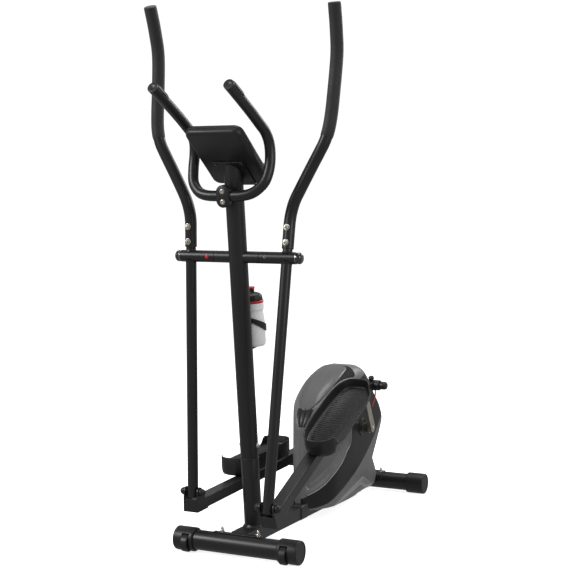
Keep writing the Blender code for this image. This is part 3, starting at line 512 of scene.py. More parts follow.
def build_mast():
    under = -0.0041
    top = CONSOLE @ Vector((0, 0, under))
    local = MAST.inverted() @ top
    lean = CONSOLE_TILT - MAST_TILT
    slope = math.sin(lean) / math.cos(lean)
    height = local.z - local.y * slope
    rings = [slope_rings(0.0262, 0.2160, 0), slope_rings(MAST_RADIUS, 0.2172, 0),
             slope_rings(MAST_RADIUS, height, slope), slope_rings(0.0250, height, slope),
             slope_rings(0.0250, 0.2160, 0)]
    bm = skin(rings, looped=True)
    bar = MAST.inverted() @ (MACHINE @ HANDLEBAR_LOW)
    boss = [(bar.y + 0.0004, 0.0215), (bar.y + 0.0020, 0.0235), (-0.024, 0.0235), (-0.018, 0.0262)]
    merge(bm, turned(boss, "Y", (0, 0, bar.z)))
    piece("mast_tube", bm, MAST, "frame", PAINT, ["mast_post"])

    level = -math.tan(MAST_TILT)
    base = [slope_rings(0.0330, 0.0012, level), slope_rings(0.0300, 0.0042, level),
            slope_rings(0.0272, 0.0085, level), slope_rings(0.0270, 0.0100, 0),
            slope_rings(0.0270, 0.2128, 0), slope_rings(0.0262, 0.2145, 0), slope_rings(0.0240, 0.2152, 0)]
    piece("mast_foot", skin(base), MAST, "frame", PAINT, ["mast_socket"], edge=0)
    ring = turned([(0.2143, 0.0258), (0.2143, 0.0283), (0.2152, 0.0290), (0.2166, 0.0290), (0.2175, 0.0283),
                   (0.2175, 0.0258)], "Z", looped=True)
    piece("mast_seam_ring", ring, MAST, "frame", PLASTIC, edge=0)

    bm = bmesh.new()
    nut(bm, (0.0277, 0, 0.2557), (1, 0, 0), 0.0062)
    nut(bm, (-0.0277, 0, 0.2557), (-1, 0, 0), 0.0056, tall=0.6)
    piece("mast_bolt_ends", bm, MAST, "frame", ZINC, ["mast_bolt"], edge=0.0003)


def build_crossbar():
    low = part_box("crossbar_shaft")[0]
    profile = [(low.x, 0.0100), (-0.0735, 0.0100), (-0.0735, 0.0170), (-0.0728, 0.0175)]
    profile += [(-x, r) for x, r in profile[::-1]]
    piece("crossbar_tube", turned(profile), place(PIVOT.y, PIVOT.z), "frame", PAINT,
          ["crossbar_shaft"])


def build_stabiliser(name, centre, saddle, saddle_half, start, end, nut_at):
    at = place(centre.y, centre.z)
    bm = turned([(-0.1475, 0.0278), (-0.1475, 0.0300), (0.1475, 0.0300), (0.1475, 0.0278)], looped=True)
    piece(name + "_tube", bm, at, "frame", PAINT, [name])
    outline = arc((0, 0), 0.0302, start, end, 20) + arc((0, 0), 0.0336, end, start, 20)
    bm = plate(outline, -saddle_half, saddle_half)
    piece(saddle + "_plate", bm, at, "frame", PAINT, [saddle], edge=0.0012, segments=3)
    bm = bmesh.new()
    for side in (-1, 1):
        acorn(bm, (side * nut_at[0], nut_at[1], nut_at[2]), 0.0058, 0.0170)
    piece(saddle + "_nuts", bm, at, "frame", ZINC, edge=0.0003)


def build_rail_nose():
    """The rail's closed front, let down onto the stabiliser's saddle."""
    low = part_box("main_rail")[0]
    front, top = low.y, low.z + RAIL_HEIGHT
    centre = (FRONT.y, FRONT.z)
    outline = [(front + 0.004, low.z + 0.001)]
    outline += [(y, z) for y, z in arc(centre, 0.0338, -8, 78, 14)]
    outline += [(centre[0] + 0.0060, top - 0.0012), (centre[0] + 0.0120, top), (front + 0.004, top)]
    half = RAIL_HALF_WIDTH
    piece("rail_nose", plate(outline, -half, half), Matrix(), "frame", PAINT, edge=0.0012,
          segments=3)


def cap_mesh(side):
    """A moulded end cap: stepped collar, rounded shoulder, recessed end face."""
    profile = [(0.1478, 0.0303), (0.1400, 0.0303), (0.1400, 0.0338), (0.1406, 0.0346), (0.1425, 0.0352),
               (0.1440, 0.0361), (0.2010, 0.0361), (0.2036, 0.0356), (0.2052, 0.0342), (0.2058, 0.0325),
               (0.2050, 0.0312), (0.2040, 0.0306)]
    bm = turned([(side * x, radius) for x, radius in profile], steps=64)
    for vert in bm.verts:
        vert.co.z = max(vert.co.z, -FRONT.z)
    return bm


def build_caps(side_name, side):
    rear = cap_mesh(side)
    piece("rear_end_cap_" + side_name, rear, place(REAR.y, REAR.z), "frame", PLASTIC,
          ["rear_cap_" + side_name], edge=0.0004)
    front = cap_mesh(side)
    obj = piece("front_end_cap_" + side_name, front, place(FRONT.y, FRONT.z), "frame", PLASTIC,
                ["front_cap_" + side_name], edge=0)
    xs = sorted((side * 0.1508, side * 0.1752))
    reach = 0.0290
    cut(obj, block((xs[0], WHEEL.y - 0.06, -0.03), (xs[1], WHEEL.y + reach, WHEEL.z + reach)))
    obj.data.set_sharp_from_angle(angle=math.radians(34))
    soften(obj, 0.0006)

    bm = bmesh.new()
    profile = [(-0.0105, 0.0100), (-0.0100, 0.0185), (-0.0108, 0.0200), (-0.0108, 0.0245), (-0.0085, 0.0272),
               (0.0085, 0.0272), (0.0108, 0.0245), (0.0108, 0.0200), (0.0100, 0.0185), (0.0105, 0.0100),
               (0.0105, 0.0044), (-0.0105, 0.0044)]
    turned(profile, looped=True, into=bm)
    for k in range(6):
        spoke = block((-0.0104, 0.0095, -0.0012), (0.0104, 0.0190, 0.0012))
        spoke.transform(Matrix.Rotation(math.radians(60 * k), 4, "X"))
        merge(bm, spoke)
    at = Matrix.Translation((side * 0.163, WHEEL.y, WHEEL.z))
    piece("roller_" + side_name, bm, at, "wheel_" + side_name, PLASTIC,
          ["transport_wheel_" + side_name], edge=0.0004)
    pin = rod(-0.0150, 0.0150, 0.0041, edge=0.0006, steps=24)
    piece("roller_pin_" + side_name, pin, at, "frame", STEEL, ["wheel_axle_" + side_name], edge=0)


def cut(obj, bm):
    """Takes a closed shape away from an object for good."""
    bmesh.ops.recalc_face_normals(bm, faces=bm.faces)
    mesh = bpy.data.meshes.new("cutter")
    bm.to_mesh(mesh)
    bm.free()
    tool = bpy.data.objects.new("cutter", mesh)
    bpy.context.scene.collection.objects.link(tool)
    change = obj.modifiers.new("cut", "BOOLEAN")
    change.operation = "DIFFERENCE"
    change.solver = "EXACT"
    change.object = tool
    bake(obj)
    bpy.data.objects.remove(tool)


def bake(obj):
    """Applies the modifiers on an object."""
    graph = bpy.context.evaluated_depsgraph_get()
    graph.update()
    made = bpy.data.meshes.new_from_object(obj.evaluated_get(graph))
    obj.modifiers.clear()
    obj.data = made


# Handlebar.

def handlebar_path():
    y, z = HANDLEBAR_LOW.yz
    points = [(0.0, y, z), (0.0480, y, z), (0.0800, -0.0680, 1.0705), (0.1020, -0.0600, 1.0855),
              (0.1175, -0.0500, 1.1080), (0.1240, -0.0380, 1.1450), (0.1235, -0.0320, 1.1850),
              (0.1215, -0.0370, 1.2180), (0.1200, -0.0570, 1.2450), (0.1190, -0.0900, 1.2660),
              (0.1190, -0.1350, 1.2920), (0.1190, -0.1992, 1.3263), (0.1190, -0.2682, 1.3616)]
    return points


def build_handlebar():
    half = curve_through(handlebar_path(), 6)
    whole = mirrored(half[:0:-1], -1) + half
    bm = skin(path_rings(whole, 0.0155, 32) + path_rings(whole, 0.0135, 32)[::-1], looped=True)
    piece("handlebar_tube", bm, MACHINE, "frame", PAINT, ["fixed_handlebar"], edge=0)
    lower, upper = (Vector(p) for p in handlebar_path()[-2:])
    along = (upper - lower).normalized()
    turn = Vector((0, 0, 1)).rotation_difference(along).to_matrix().to_4x4()
    for side_name, side in SIDES.items():
        plug = turned([(-0.012, 0.0132), (-0.0035, 0.0132), (-0.0035, 0.0152), (-0.0022, 0.0156),
                       (-0.0010, 0.0153), (-0.0004, 0.0138), (-0.0004, 0.0060), (-0.0010, 0.0050)], "Z")
        plug.transform(Matrix.Translation(upper - along * 0.0004) @ turn)
        if side < 0:
            plug.transform(Matrix.Diagonal((-1, 1, 1, 1)))
        piece("handlebar_plug_" + side_name, plug, MACHINE, "frame", PLASTIC, edge=0)
        build_sensor(side_name, side, lower, along)
    build_clamp()


def build_sensor(side_name, side, lower, along):
    """A curved contact plate with raised ends, let into a moulded collar."""
    outward = Vector((1, 0, 0)).cross(along) * -1
    start = lower + along * 0.0118
    for name, mat, size, turn, span in (
            ("sensor_plate_", SENSOR, 0.0183, 66, (0.006, 0.051)),
            ("sensor_collar_", PLASTIC, 0.0176, 82, (0.000, 0.058))):
        rings = []
        stations = [(span[0], size - 0.0008), (span[0] + 0.0015, size), (span[1] - 0.0015, size),
                    (span[1], size - 0.0008)]
        for distance, radius in stations:
            turns = [math.radians(-turn + 2 * turn * i / 20) for i in range(21)]
            ring = [(t, radius) for t in turns] + [(t, 0.0157) for t in turns[::-1]]
            rings.append([start + along * distance
                          + r * (outward * math.cos(t) + Vector((1, 0, 0)) * math.sin(t)) for t, r in ring])
        bm = skin([mirrored(ring, side) for ring in rings])
        stands_for = ["pulse_sensor_" + side_name] if mat is SENSOR else ()
        piece(name + side_name, bm, MACHINE, "frame", mat, stands_for, edge=0.0004)


def build_clamp():
    bar = MAST.inverted() @ (MACHINE @ HANDLEBAR_LOW)
    turns = [2 * math.pi * (i + 0.5) / 40 for i in range(40)]
    rings = []
    for y, inset in ((bar.y - 0.0004, 0.0), (bar.y - 0.0160, 0.0), (bar.y - 0.0180, 0.0008),
                     (bar.y - 0.0192, 0.0026)):
        reach = 0.0213 - inset
        ring = []
        for turn in turns:
            rise = math.copysign(0.0113, math.sin(turn)) + reach * math.sin(turn)
            ring.append(Vector((reach * math.cos(turn), y, bar.z + rise)))
        rings.append(ring)
    piece("clamp_plate", skin(rings), MAST, "frame", PLASTIC, ["handlebar_clamp"], edge=0)
    bm = bmesh.new()
    for rise in (-0.0150, 0.0150):
        turned([(0, 0.0066), (-0.0014, 0.0066), (-0.0026, 0.0058), (-0.0032, 0.0036), (-0.0014, 0.0030)], "Y",
               (0, bar.y - 0.0188, bar.z + rise), steps=6, turn=0.3, into=bm)
        turned([(0, 0.0078), (-0.0010, 0.0076)], "Y", (0, bar.y - 0.0188, bar.z + rise), steps=32, into=bm)
    piece("clamp_screws", bm, MAST, "frame", ZINC, edge=0)


# Console.

def rounded_outline(half_width, y_low, y_high, radius, inset=0.0, steps=8):
    found = []
    for sign, y, start in ((1, y_high, 0), (-1, y_high, 90), (-1, y_low, 180), (1, y_low, 270)):
        up = 1 if y == y_high else -1
        centre_x, centre_y = sign * (half_width - radius), y - up * radius
        for i in range(steps + 1):
            turn = math.radians(start + 90 * i / steps)
            reach = max(radius - inset, 0.0005)
            found.append((centre_x + reach * math.cos(turn), centre_y + reach * math.sin(turn)))
    return found


def console_ring(z, inset, half_width=0.0900, low=0.0, high=0.237, radius=0.024):
    return [Vector((x, y, z)) for x, y in rounded_outline(half_width, low, high, radius, inset)]


def build_console():
    shell = [(0.0003 + 0.0120 * (1 - math.sin(a)), 0.0002 + 0.0120 * (1 - math.cos(a))) for a in
             (math.radians(d) for d in range(90, -1, -9))]
    shell += [(0.0172, 0.0002), (0.0178, 0.0008)]
    bm = skin([console_ring(z, i) for z, i in shell])
    piece("console_back", bm, CONSOLE, "frame", PLASTIC, ["console_shell"], edge=0)
    face = [(0.0178, 0.0014), (0.0183, 0.0006), (0.0190, 0.0), (0.0240, 0.0), (0.0275, 0.0010),
            (0.0293, 0.0030), (0.0299, 0.0060)]
    bm = skin([console_ring(z, i) for z, i in face])
    obj = piece("console_front", bm, CONSOLE, "frame", PLASTIC, ["console_face"], edge=0)
    cutters = [skin([[Vector((x, y, z)) for x, y in rounded_outline(0.0600, 0.030, 0.095, 0.006)]
                     for z in (0.0262, 0.0360)])]
    for x in (-0.040, 0.0, 0.040):
        cutters.append(rod(0.0205, 0.0400, 0.0086, "Z", (x, 0.125, 0), steps=40))
    cutters.append(skin([[Vector((x, y, z)) for x, y in rounded_outline(0.0640, 0.108, 0.142, 0.010)]
                         for z in (0.0293, 0.0360)]))
    for bm in cutters:
        bm.transform(CONSOLE)
        cut(obj, bm)
    obj.data.set_sharp_from_angle(angle=math.radians(34))
    soften(obj, 0.0004)

    lens = [(0.0264, 0.0003), (0.0290, 0.0003), (0.0294, 0.0010)]
    rings = [[Vector((x, y, z)) for x, y in rounded_outline(0.0600, 0.030, 0.095, 0.006, i)] for z, i in lens]
    piece("display", skin(rings), CONSOLE, "frame", LENS, ["console_lens"], edge=0)
    for name, x in (("mode", -0.040), ("set", 0.0), ("reset", 0.040)):
        profile = [(0.0236, 0.0079), (0.0312, 0.0079), (0.0322, 0.0074), (0.0327, 0.0064), (0.0324, 0.0030)]
        button = name + "_button"
        bm = turned(profile, "Z", (x, 0.125, 0), steps=40)
        piece(name + "_key", bm, CONSOLE, button, BUTTON, [button], edge=0)
    bm = bmesh.new()
    for x, y in ((-0.041, 0.137), (0.041, 0.137), (-0.041, 0.223), (0.041, 0.223)):
        profile = [(-0.0037, 0.0050), (-0.0048, 0.0049), (-0.0060, 0.0036), (-0.0062, 0.0018),
                   (-0.0052, 0.0016)]
        turned(profile, "Z", (x, y, 0), steps=28, into=bm)
    piece("bracket_screws", bm, CONSOLE, "frame", BLACK_PLATE, edge=0)


# Bottle.

def build_bottle():
    at = MAST @ Matrix.Translation(BOTTLE_FOOT)
    profile = [(0.0030, 0.0180), (0.0003, 0.0250), (0.0010, 0.0295), (0.0040, 0.0326), (0.0100, 0.0342)]
    profile += [(0.0640, 0.0344), (0.0740, 0.0340), (0.0850, 0.0330), (0.0960, 0.0318), (0.1030, 0.0306),
                (0.1060, 0.0303), (0.1090, 0.0306), (0.1110, 0.0326), (0.1130, 0.0333), (0.1190, 0.0333),
                (0.1200, 0.0329), (0.1212, 0.0333), (0.1290, 0.0333), (0.1310, 0.0326)]
    piece("bottle_shell", turned(profile, "Z", steps=64), at, "bottle", BOTTLE,
          ["bottle_body"], edge=0, angle=60)
    ring = turned([(0.1312, 0.0290), (0.1312, 0.0328), (0.1324, 0.0336), (0.1378, 0.0336), (0.1390, 0.0326),
                   (0.1390, 0.0290)], "Z", looped=True, steps=64)
    piece("bottle_ring", ring, at, "bottle", RED, edge=0)
    rings = []
    for z, radius, depth in ((0.1384, 0.0300, 0), (0.1392, 0.0310, 0.5), (0.1440, 0.0308, 1),
                             (0.1500, 0.0302, 1), (0.1540, 0.0284, 1), (0.1575, 0.0242, 0.5),
                             (0.1602, 0.0180, 0), (0.1618, 0.0125, 0), (0.1622, 0.0082, 0),
                             (0.1640, 0.0074, 0), (0.1714, 0.0056, 0)):
        ring = circle((0, 0, z), radius, "Z", 96)
        for i, point in enumerate(ring):
            groove = 0.0010 * depth * (1 if i % 8 in (0, 1) else 0)
            shrink = (radius - groove) / radius
            point.x *= shrink
            point.y *= shrink
        rings.append(ring)
    piece("bottle_lid", skin(rings), at, "bottle", PLASTIC, ["bottle_cap"], edge=0, angle=50)
    skirt = [(0.1730, 0.0062), (0.1642, 0.0062), (0.1642, 0.0076), (0.1660, 0.0079), (0.1726, 0.0074)]
    piece("spout_skirt", turned(skirt, "Z", looped=True, steps=40), at, "nozzle", PLASTIC,
          edge=0, angle=50)
    head = [(0.1727, 0.0070), (0.1730, 0.0088), (0.1742, 0.0096), (0.1768, 0.0096), (0.1782, 0.0088),
            (0.1791, 0.0070), (0.1792, 0.0040)]
    piece("spout", turned(head, "Z", steps=40), at, "nozzle", RED, ["bottle_nozzle"], edge=0,
          angle=50)

    bm = bmesh.new()
    inner, thick = 0.0350, 0.0030
    rings = []
    for i in range(64):
        turn = 2 * math.pi * i / 64
        slant = 0.0200 * math.sin(turn + 0.5)
        height = 0.0088 + 0.0020 * math.cos(2 * turn)
        base = 0.0700 - slant
        rings.append([Vector((r * math.cos(turn), r * math.sin(turn), base + z)) for r, z in
                      ((inner, -height), (inner + thick, -height), (inner + thick, height), (inner, height))])
    skin(rings, looped=True, into=bm)
    for x in (-0.0085, 0.0085):
        block((x - 0.0034, -0.0435, -0.0034), (x + 0.0034, -0.0352, 0.100), into=bm)
    for z in (-0.0036, 0.030, 0.086):
        block((-0.0118, -0.0438, z), (0.0118, -0.0356, z + 0.013), into=bm)
    block((-0.0115, -0.0430, -0.0036), (0.0115, -0.0045, -0.0004), into=bm)
    piece("cage", bm, at, "frame", PLASTIC, ["bottle_cage"], edge=0.0005)


# Swinging arms.

def upper_arm_path():
    return [(0.1585, 0.0, 0.027), (0.1585, 0.0, 0.0700), (0.1588, 0.0, 0.1050), (0.1622, -0.001, 0.1330),
            (0.1710, -0.003, 0.1650), (0.1865, -0.004, 0.1985), (0.2140, -0.007, 0.2530),
            (0.2410, -0.010, 0.3050), (0.2550, -0.0105, 0.3350), (0.2640, -0.009, 0.3720),
            (0.2672, -0.005, 0.4200), (0.2672, 0.000, 0.4900), (0.2670, 0.003, 0.5650),
            (0.2670, 0.000, 0.6080), (0.2670, -0.010, 0.6450), (0.2670, -0.0230, 0.6850),
            (0.2670, -0.041, 0.7305)]


def build_arm(side_name, side):
    at = arm_place(side_name)
    body = "arm_" + side_name
    x = side * TUBE_X
    foot = -0.7251
    bm = turned([(side * 0.0741, 0.0104), (side * 0.0741, 0.0170), (side * 0.0747, 0.0175),
                 (side * 0.1888, 0.0175), (side * 0.1894, 0.0170), (side * 0.1894, 0.0104)], looped=True)
    merge(bm, turned([(foot, 0.0142), (foot, 0.0154), (foot + 0.0008, 0.0160), (-0.0190, 0.0160),
                      (-0.0165, 0.0172), (-0.0120, 0.0184), (-0.0100, 0.0150)], "Z", (x, 0, 0)))
    merge(bm, turned([(0.0100, 0.0130), (0.0135, 0.0172), (0.0180, 0.0152), (0.0200, 0.0145),
                      (0.0930, 0.0145)], "Z", (x, 0, 0)))
    piece("lower_arm_tube_" + side_name, bm, at, body, PAINT, ["lower_arm_" + side_name],
          edge=0.0003)

    path = curve_through(mirrored(upper_arm_path(), side), 5)
    bm = skin(path_rings(path, 0.0175, 32) + path_rings(path, 0.0155, 32)[::-1], looped=True)
    piece("upper_arm_tube_" + side_name, bm, at, body, PAINT, ["upper_arm_" + side_name],
          edge=0)

    start = next(i for i, point in enumerate(path) if point.z > 0.3480)
    grip = path[start:]
    tip = path[-1]
    along = (tip - path[-2]).normalized()
    last = len(grip) - 1

    def outer(i):
        if i == 0:
            return 0.0184
        return 0.0191 if i < last else 0.0187

    rings = path_rings(grip, outer, 32)
    inner = path_rings(grip, 0.0177, 32)
    closing = [[tip + along * lift + (p - tip) * share for p in rings[-1]]
               for lift, share in ((0.0012, 0.93), (0.0020, 0.80), (0.0022, 0.30))]
    bm = skin(inner[:1] + rings + closing)
    obj = piece("grip_foam_" + side_name, bm, at, body, FOAM, ["arm_grip_" + side_name], edge=0)

    bm = bmesh.new()
    for v in (0.043, 0.087):
        nut(bm, (x, -0.0172, v), (0, -1, 0), 0.0078, tall=1.15)
        turned([(0.0172, 0.0080), (0.0195, 0.0076), (0.0215, 0.0058), (0.0222, 0.0030)], "Y", (x, 0, v),
               steps=28, into=bm)
    piece("arm_bolts_" + side_name, bm, at, body, ZINC, edge=0.0003)

    dome = [(0.1910, 0.0140), (0.1914, 0.0165), (0.1965, 0.0166), (0.1975, 0.0172), (0.2010, 0.0168),
            (0.2042, 0.0152), (0.2066, 0.0124), (0.2080, 0.0085), (0.2084, 0.0040)]
    cap = turned([(side * along_x, radius) for along_x, radius in dome])
    pivot = place(PIVOT.y, PIVOT.z)
    piece("pivot_dome_" + side_name, cap, pivot, "frame", GLOSS_BLACK,
          ["pivot_cap_" + side_name], edge=0)
    washer = [(0.1897, 0.0110), (0.1897, 0.0170), (0.1900, 0.0172), (0.1906, 0.0172), (0.1909, 0.0169),
              (0.1909, 0.0110)]
    ring = turned([(side * along_x, radius) for along_x, radius in washer], looped=True)
    piece("pivot_washer_" + side_name, ring, pivot, "frame", ZINC, edge=0)
    if side < 0:
        plug = [(-0.0170, 0.0045), (-0.0172, 0.0060), (-0.0182, 0.0060), (-0.0194, 0.0050), (-0.0201, 0.0032),
                (-0.0203, 0.0012)]
        bm = turned(plug, "Y", (side * PLUG_X, 0, 0), steps=32)
        piece("red_plug", bm, at, body, RED, edge=0)
    else:
        bm = bmesh.new()
        screw = [(-0.0170, 0.0026), (-0.0170, 0.0046), (-0.0184, 0.0044), (-0.0188, 0.0036),
                 (-0.0180, 0.0026)]
        turned(screw, "Y", (side * PLUG_X, 0, 0), looped=True, steps=28, into=bm)
        piece("grease_screw", bm, at, body, ZINC, edge=0)


# Pedal bars and pedals.

def build_bar(side_name, side):
    at = bar_place(side_name)
    body = "bar_" + side_name
    pin_u, pin_w = crank_pin_local(side_name)
    x = side * TUBE_X
    half, bottom, top = 0.0200, -0.0590, -0.0240
    outer = rounded_box_ring(x, half, bottom, top, 0.0035)
    inner = rounded_box_ring(x, half - 0.0022, bottom + 0.0022, top - 0.0022, 0.0016)
    rings = [[Vector((px, u, pz)) for px, pz in ring]
             for ring, u in ((outer, -0.0120), (outer, 0.7200), (inner, 0.7200), (inner, -0.0100))]
    bm = skin(rings, looped=True)
    cheek = [(-0.0165, bottom), (0.050, bottom), (0.040, -0.044), (0.030, -0.022)]
    cheek += arc((0, 0), 0.0150, 8, 172, 20) + [(-0.0160, top)]
    for low, high in ((half - 0.0003, half + 0.0048), (-half - 0.0048, 0.0003 - half)):
        plate(cheek, x + low, x + high, into=bm)
    block((x - half, -0.0164, bottom), (x + half, -0.0118, top + 0.0035), into=bm)
    hanger = [(0.650, bottom + 0.001), (0.7200, bottom + 0.001), (pin_u - 0.004, pin_w + 0.0170)]
    hanger += arc((pin_u, pin_w), 0.0165, 70, -80, 14) + [(0.7420, pin_w + 0.006), (0.700, bottom - 0.020),
                                                      (0.650, bottom - 0.009)]
    plate(hanger, *sorted((side * 0.1408, side * 0.1578)), into=bm)
    housing = [(0.1212, 0.0084), (0.1212, 0.0168), (0.1222, 0.0175), (0.1750, 0.0175), (0.1760, 0.0168),
               (0.1760, 0.0084)]
    housing = [(side * along, radius) for along, radius in housing]
    turned(housing, "X", (0, pin_u, pin_w), looped=True, into=bm)
    piece("bar_weldment_" + side_name, bm, at, body, PAINT, ["pedal_bar_" + side_name],
          edge=0.0009)

    dome = [(0.0163, 0.0086), (0.0190, 0.0086), (0.0190, 0.0050), (0.0252, 0.0050), (0.0252, 0.0112),
            (0.0264, 0.0119), (0.0300, 0.0118), (0.0345, 0.0108), (0.0385, 0.0086), (0.0410, 0.0056),
            (0.0417, 0.0025)]
    mirror = [(-along, radius) for along, radius in dome[::-1]]
    profile = mirror + [(-0.0160, 0.0050), (0.0160, 0.0050)] + dome
    domes = turned(profile, centre=(x, 0, 0), steps=40)
    piece("clevis_domes_" + side_name, domes, at, body, PLASTIC, ["clevis_pin_" + side_name], edge=0,
          angle=50)
    cap = [(0.1214, 0.0080), (0.1763, 0.0080), (0.1763, 0.0130), (0.1770, 0.0135), (0.1930, 0.0135),
           (0.1975, 0.0124), (0.2000, 0.0100), (0.2003, 0.0050)]
    bm = turned([(side * along, radius) for along, radius in cap], centre=(0, pin_u, pin_w), steps=40)
    piece("crank_pin_cap_" + side_name, bm, at, body, PLASTIC, ["crank_pin_" + side_name],
          edge=0, angle=50)
    knob = turned([(0.0165, 0.0060), (0.0215, 0.0055), (0.0225, 0.0085), (0.0240, 0.0095), (0.0290, 0.0095),
                   (0.0320, 0.0080), (0.0335, 0.0045)], "Z", (side * 0.1490, pin_u, pin_w), steps=32)
    piece("housing_bolt_" + side_name, knob, at, body, PLASTIC, edge=0, angle=50)
    bm = bmesh.new()
    for u in (0.345, 0.585):
        head = [(bottom + 0.0002, 0.0075), (bottom - 0.0018, 0.0074), (bottom - 0.0036, 0.0052)]
        turned(head, "Z", (x, u, 0), steps=28, into=bm)
    piece("pedal_screws_" + side_name, bm, at, body, STEEL, edge=0)


def rounded_box_ring(x, half, bottom, top, radius):
    right, left = x + half - radius, x - half + radius
    upper, lower = top - radius, bottom + radius
    corners = ((right, upper), (left, upper), (left, lower), (right, lower))
    ring = []
    for centre, start in zip(corners, (0, 90, 180, 270)):
        ring += arc(centre, radius, start, start + 90, 4)
    return ring


PEDAL_U = (0.287, 0.645)
PEDAL_X = (0.1225, 0.2500)


def pedal_ring(inset, height, outer_inset=None, outer_height=None, steps=128):
    """Points round the pedal: its outer side may have an inset and a height of its own."""
    middle_x, half_x = sum(PEDAL_X) / 2, (PEDAL_X[1] - PEDAL_X[0]) / 2
    middle_u, half_u = sum(PEDAL_U) / 2, (PEDAL_U[1] - PEDAL_U[0]) / 2
    found = []
    for i in range(steps):
        turn = 2 * math.pi * i / steps
        c, s = math.cos(turn), math.sin(turn)
        stretch = (abs(c) ** 3.2 + abs(s) ** 3.2) ** (-1 / 3.2)
        x_part, u_part = c * stretch, s * stretch
        blend = 0.0
        if outer_inset is not None:
            blend = smooth_step((x_part - 0.40) / 0.36) * smooth_step((0.84 - abs(u_part)) / 0.11)
        draw = inset + blend * ((outer_inset or 0) - inset)
        level = height + blend * ((outer_height or 0) - height)
        across, along = x_part * (half_x - draw), u_part * (half_u - draw)
        found.append(Vector((middle_x + across, middle_u + along, level)))
    return found


def build_pedal(side_name, side):
    at = bar_place(side_name)
    body = "bar_" + side_name
    low, floor, rim = -0.0236, 0.0050, 0.0360
    rings = [pedal_ring(0.0140, low, 0.0540, low), pedal_ring(0.0100, low, 0.0520, low),
             pedal_ring(0.0050, low + 0.0020, 0.0440, low + 0.0024),
             pedal_ring(0.0018, low + 0.0080, 0.0240, low + 0.0110),
             pedal_ring(0.0004, low + 0.0180, 0.0060, floor - 0.0070),
             pedal_ring(0.0, low + 0.0280, 0.0, floor - 0.0030),
             pedal_ring(0.0, rim - 0.0015, 0.0, floor + 0.0005),
             pedal_ring(0.0005, rim - 0.0004, 0.0006, floor + 0.0014),
             pedal_ring(0.0016, rim, 0.0018, floor + 0.0018),
             pedal_ring(0.0028, rim - 0.0004, 0.0030, floor + 0.0014),
             pedal_ring(0.0034, rim - 0.0016, 0.0036, floor + 0.0004),
             pedal_ring(0.0048, floor + 0.0080, 0.0040, floor + 0.0002),
             pedal_ring(0.0062, floor + 0.0022, 0.0044, floor + 0.0001),
             pedal_ring(0.0095, floor, 0.0050, floor)]
    bm = skin([mirrored(ring, side) for ring in rings])
    piece("pedal_tray_" + side_name, bm, at, body, PEDAL, ["pedal_" + side_name], edge=0,
          angle=50)
    build_tread(side_name, side, at, body, floor)


def build_tread(side_name, side, at, body, floor):
    """Wavy ribs across the tray's floor."""
    bm = bmesh.new()
    middle_x, half_x = sum(PEDAL_X) / 2, (PEDAL_X[1] - PEDAL_X[0]) / 2 - 0.0100
    middle_u, half_u = sum(PEDAL_U) / 2, (PEDAL_U[1] - PEDAL_U[0]) / 2 - 0.0130
    count = 34
    for k in range(count):
        base = middle_u - half_u + 2 * half_u * (k + 0.5) / count
        share = abs(base - middle_u) / half_u
        reach = half_x * max(1 - share**3.2, 0.0) ** (1 / 3.2)
        if reach < 0.012:
            continue
        points = []
        for i in range(25):
            x = -reach + 2 * reach * i / 24
            wave = 0.0036 * math.sin(x * 2 * math.pi / 0.070) + 0.10 * x
            points.append((middle_x + x, base + wave))
        rings = []
        for i, (x, u) in enumerate(points):
            fade = 0.3 + 0.7 * smooth_step(min(i, 24 - i) / 2)
            high = floor + 0.0017 * fade
            low = floor - 0.0004
            rings.append([Vector((side * x, u + across, z)) for across, z in
                          ((-0.0024, low), (-0.0016, high - 0.0005), (-0.0007, high), (0.0007, high),
                           (0.0016, high - 0.0005), (0.0024, low))])
        skin(rings, into=bm)
    piece("tread_" + side_name, bm, at, body, PEDAL, edge=0, angle=80)


# Crank and drive.

def build_crank(side_name, side):
    at = crank_place(side_name)
    reach = middle("crank_pin_" + side_name) - CRANK
    throw = math.hypot(reach.y, reach.z)
    bm = bmesh.new()
    rings = []
    for x, inset in ((0.1080, 0.0008), (0.1086, 0.0), (0.1188, 0.0), (0.1194, 0.0008)):
        outline = arc((0, 0), 0.0155 - inset, 180, 360, 24) + arc((0, throw), 0.0132 - inset, 0, 180, 24)
        rings.append([Vector((side * x, y, z)) for y, z in outline])
    skin(rings, into=bm)
    boss = [(0.0836, 0.0148), (0.0842, 0.0160), (0.0960, 0.0160), (0.0990, 0.0175), (0.1080, 0.0178)]
    turned([(side * x, radius) for x, radius in boss], into=bm)
    piece("crank_arm_plate_" + side_name, bm, at, "crank", NICKEL, ["crank_arm_" + side_name],
          edge=0)
    bm = bmesh.new()
    nut(bm, (side * 0.1150, 0, 0), (side, 0, 0), 0.0080, tall=0.6)
    piece("crank_nut_" + side_name, bm, at, "crank", ZINC, edge=0.0003)
    collar = turned([(side * x, r) for x, r in ((0.0795, 0.0235), (0.0795, 0.0300), (0.0812, 0.0300),
                                                 (0.0824, 0.0288), (0.0826, 0.0262), (0.0815, 0.0242),
                                                 (0.0800, 0.0235))], steps=56)
    piece("crank_collar_" + side_name, collar, place(CRANK.y, CRANK.z), "frame", PLASTIC,
          edge=0)


# Shroud.

SHROUD_OUTLINE = [
    (0.420, 0.048), (0.404, 0.070), (0.402, 0.110), (0.405, 0.160), (0.4125, 0.207), (0.4235, 0.2715),
    (0.4365, 0.329), (0.4600, 0.368), (0.4955, 0.402), (0.5450, 0.436), (0.6075, 0.464), (0.6840, 0.484),
    (0.7450, 0.4885), (0.7950, 0.4765), (0.8350, 0.442), (0.8750, 0.380), (0.9120, 0.327), (0.9320, 0.290),
    (0.9260, 0.262), (0.8950, 0.215), (0.8500, 0.153), (0.8800, 0.103), (0.8700, 0.064), (0.8450, 0.052),
    (0.7700, 0.052), (0.6700, 0.044), (0.5170, 0.042)]


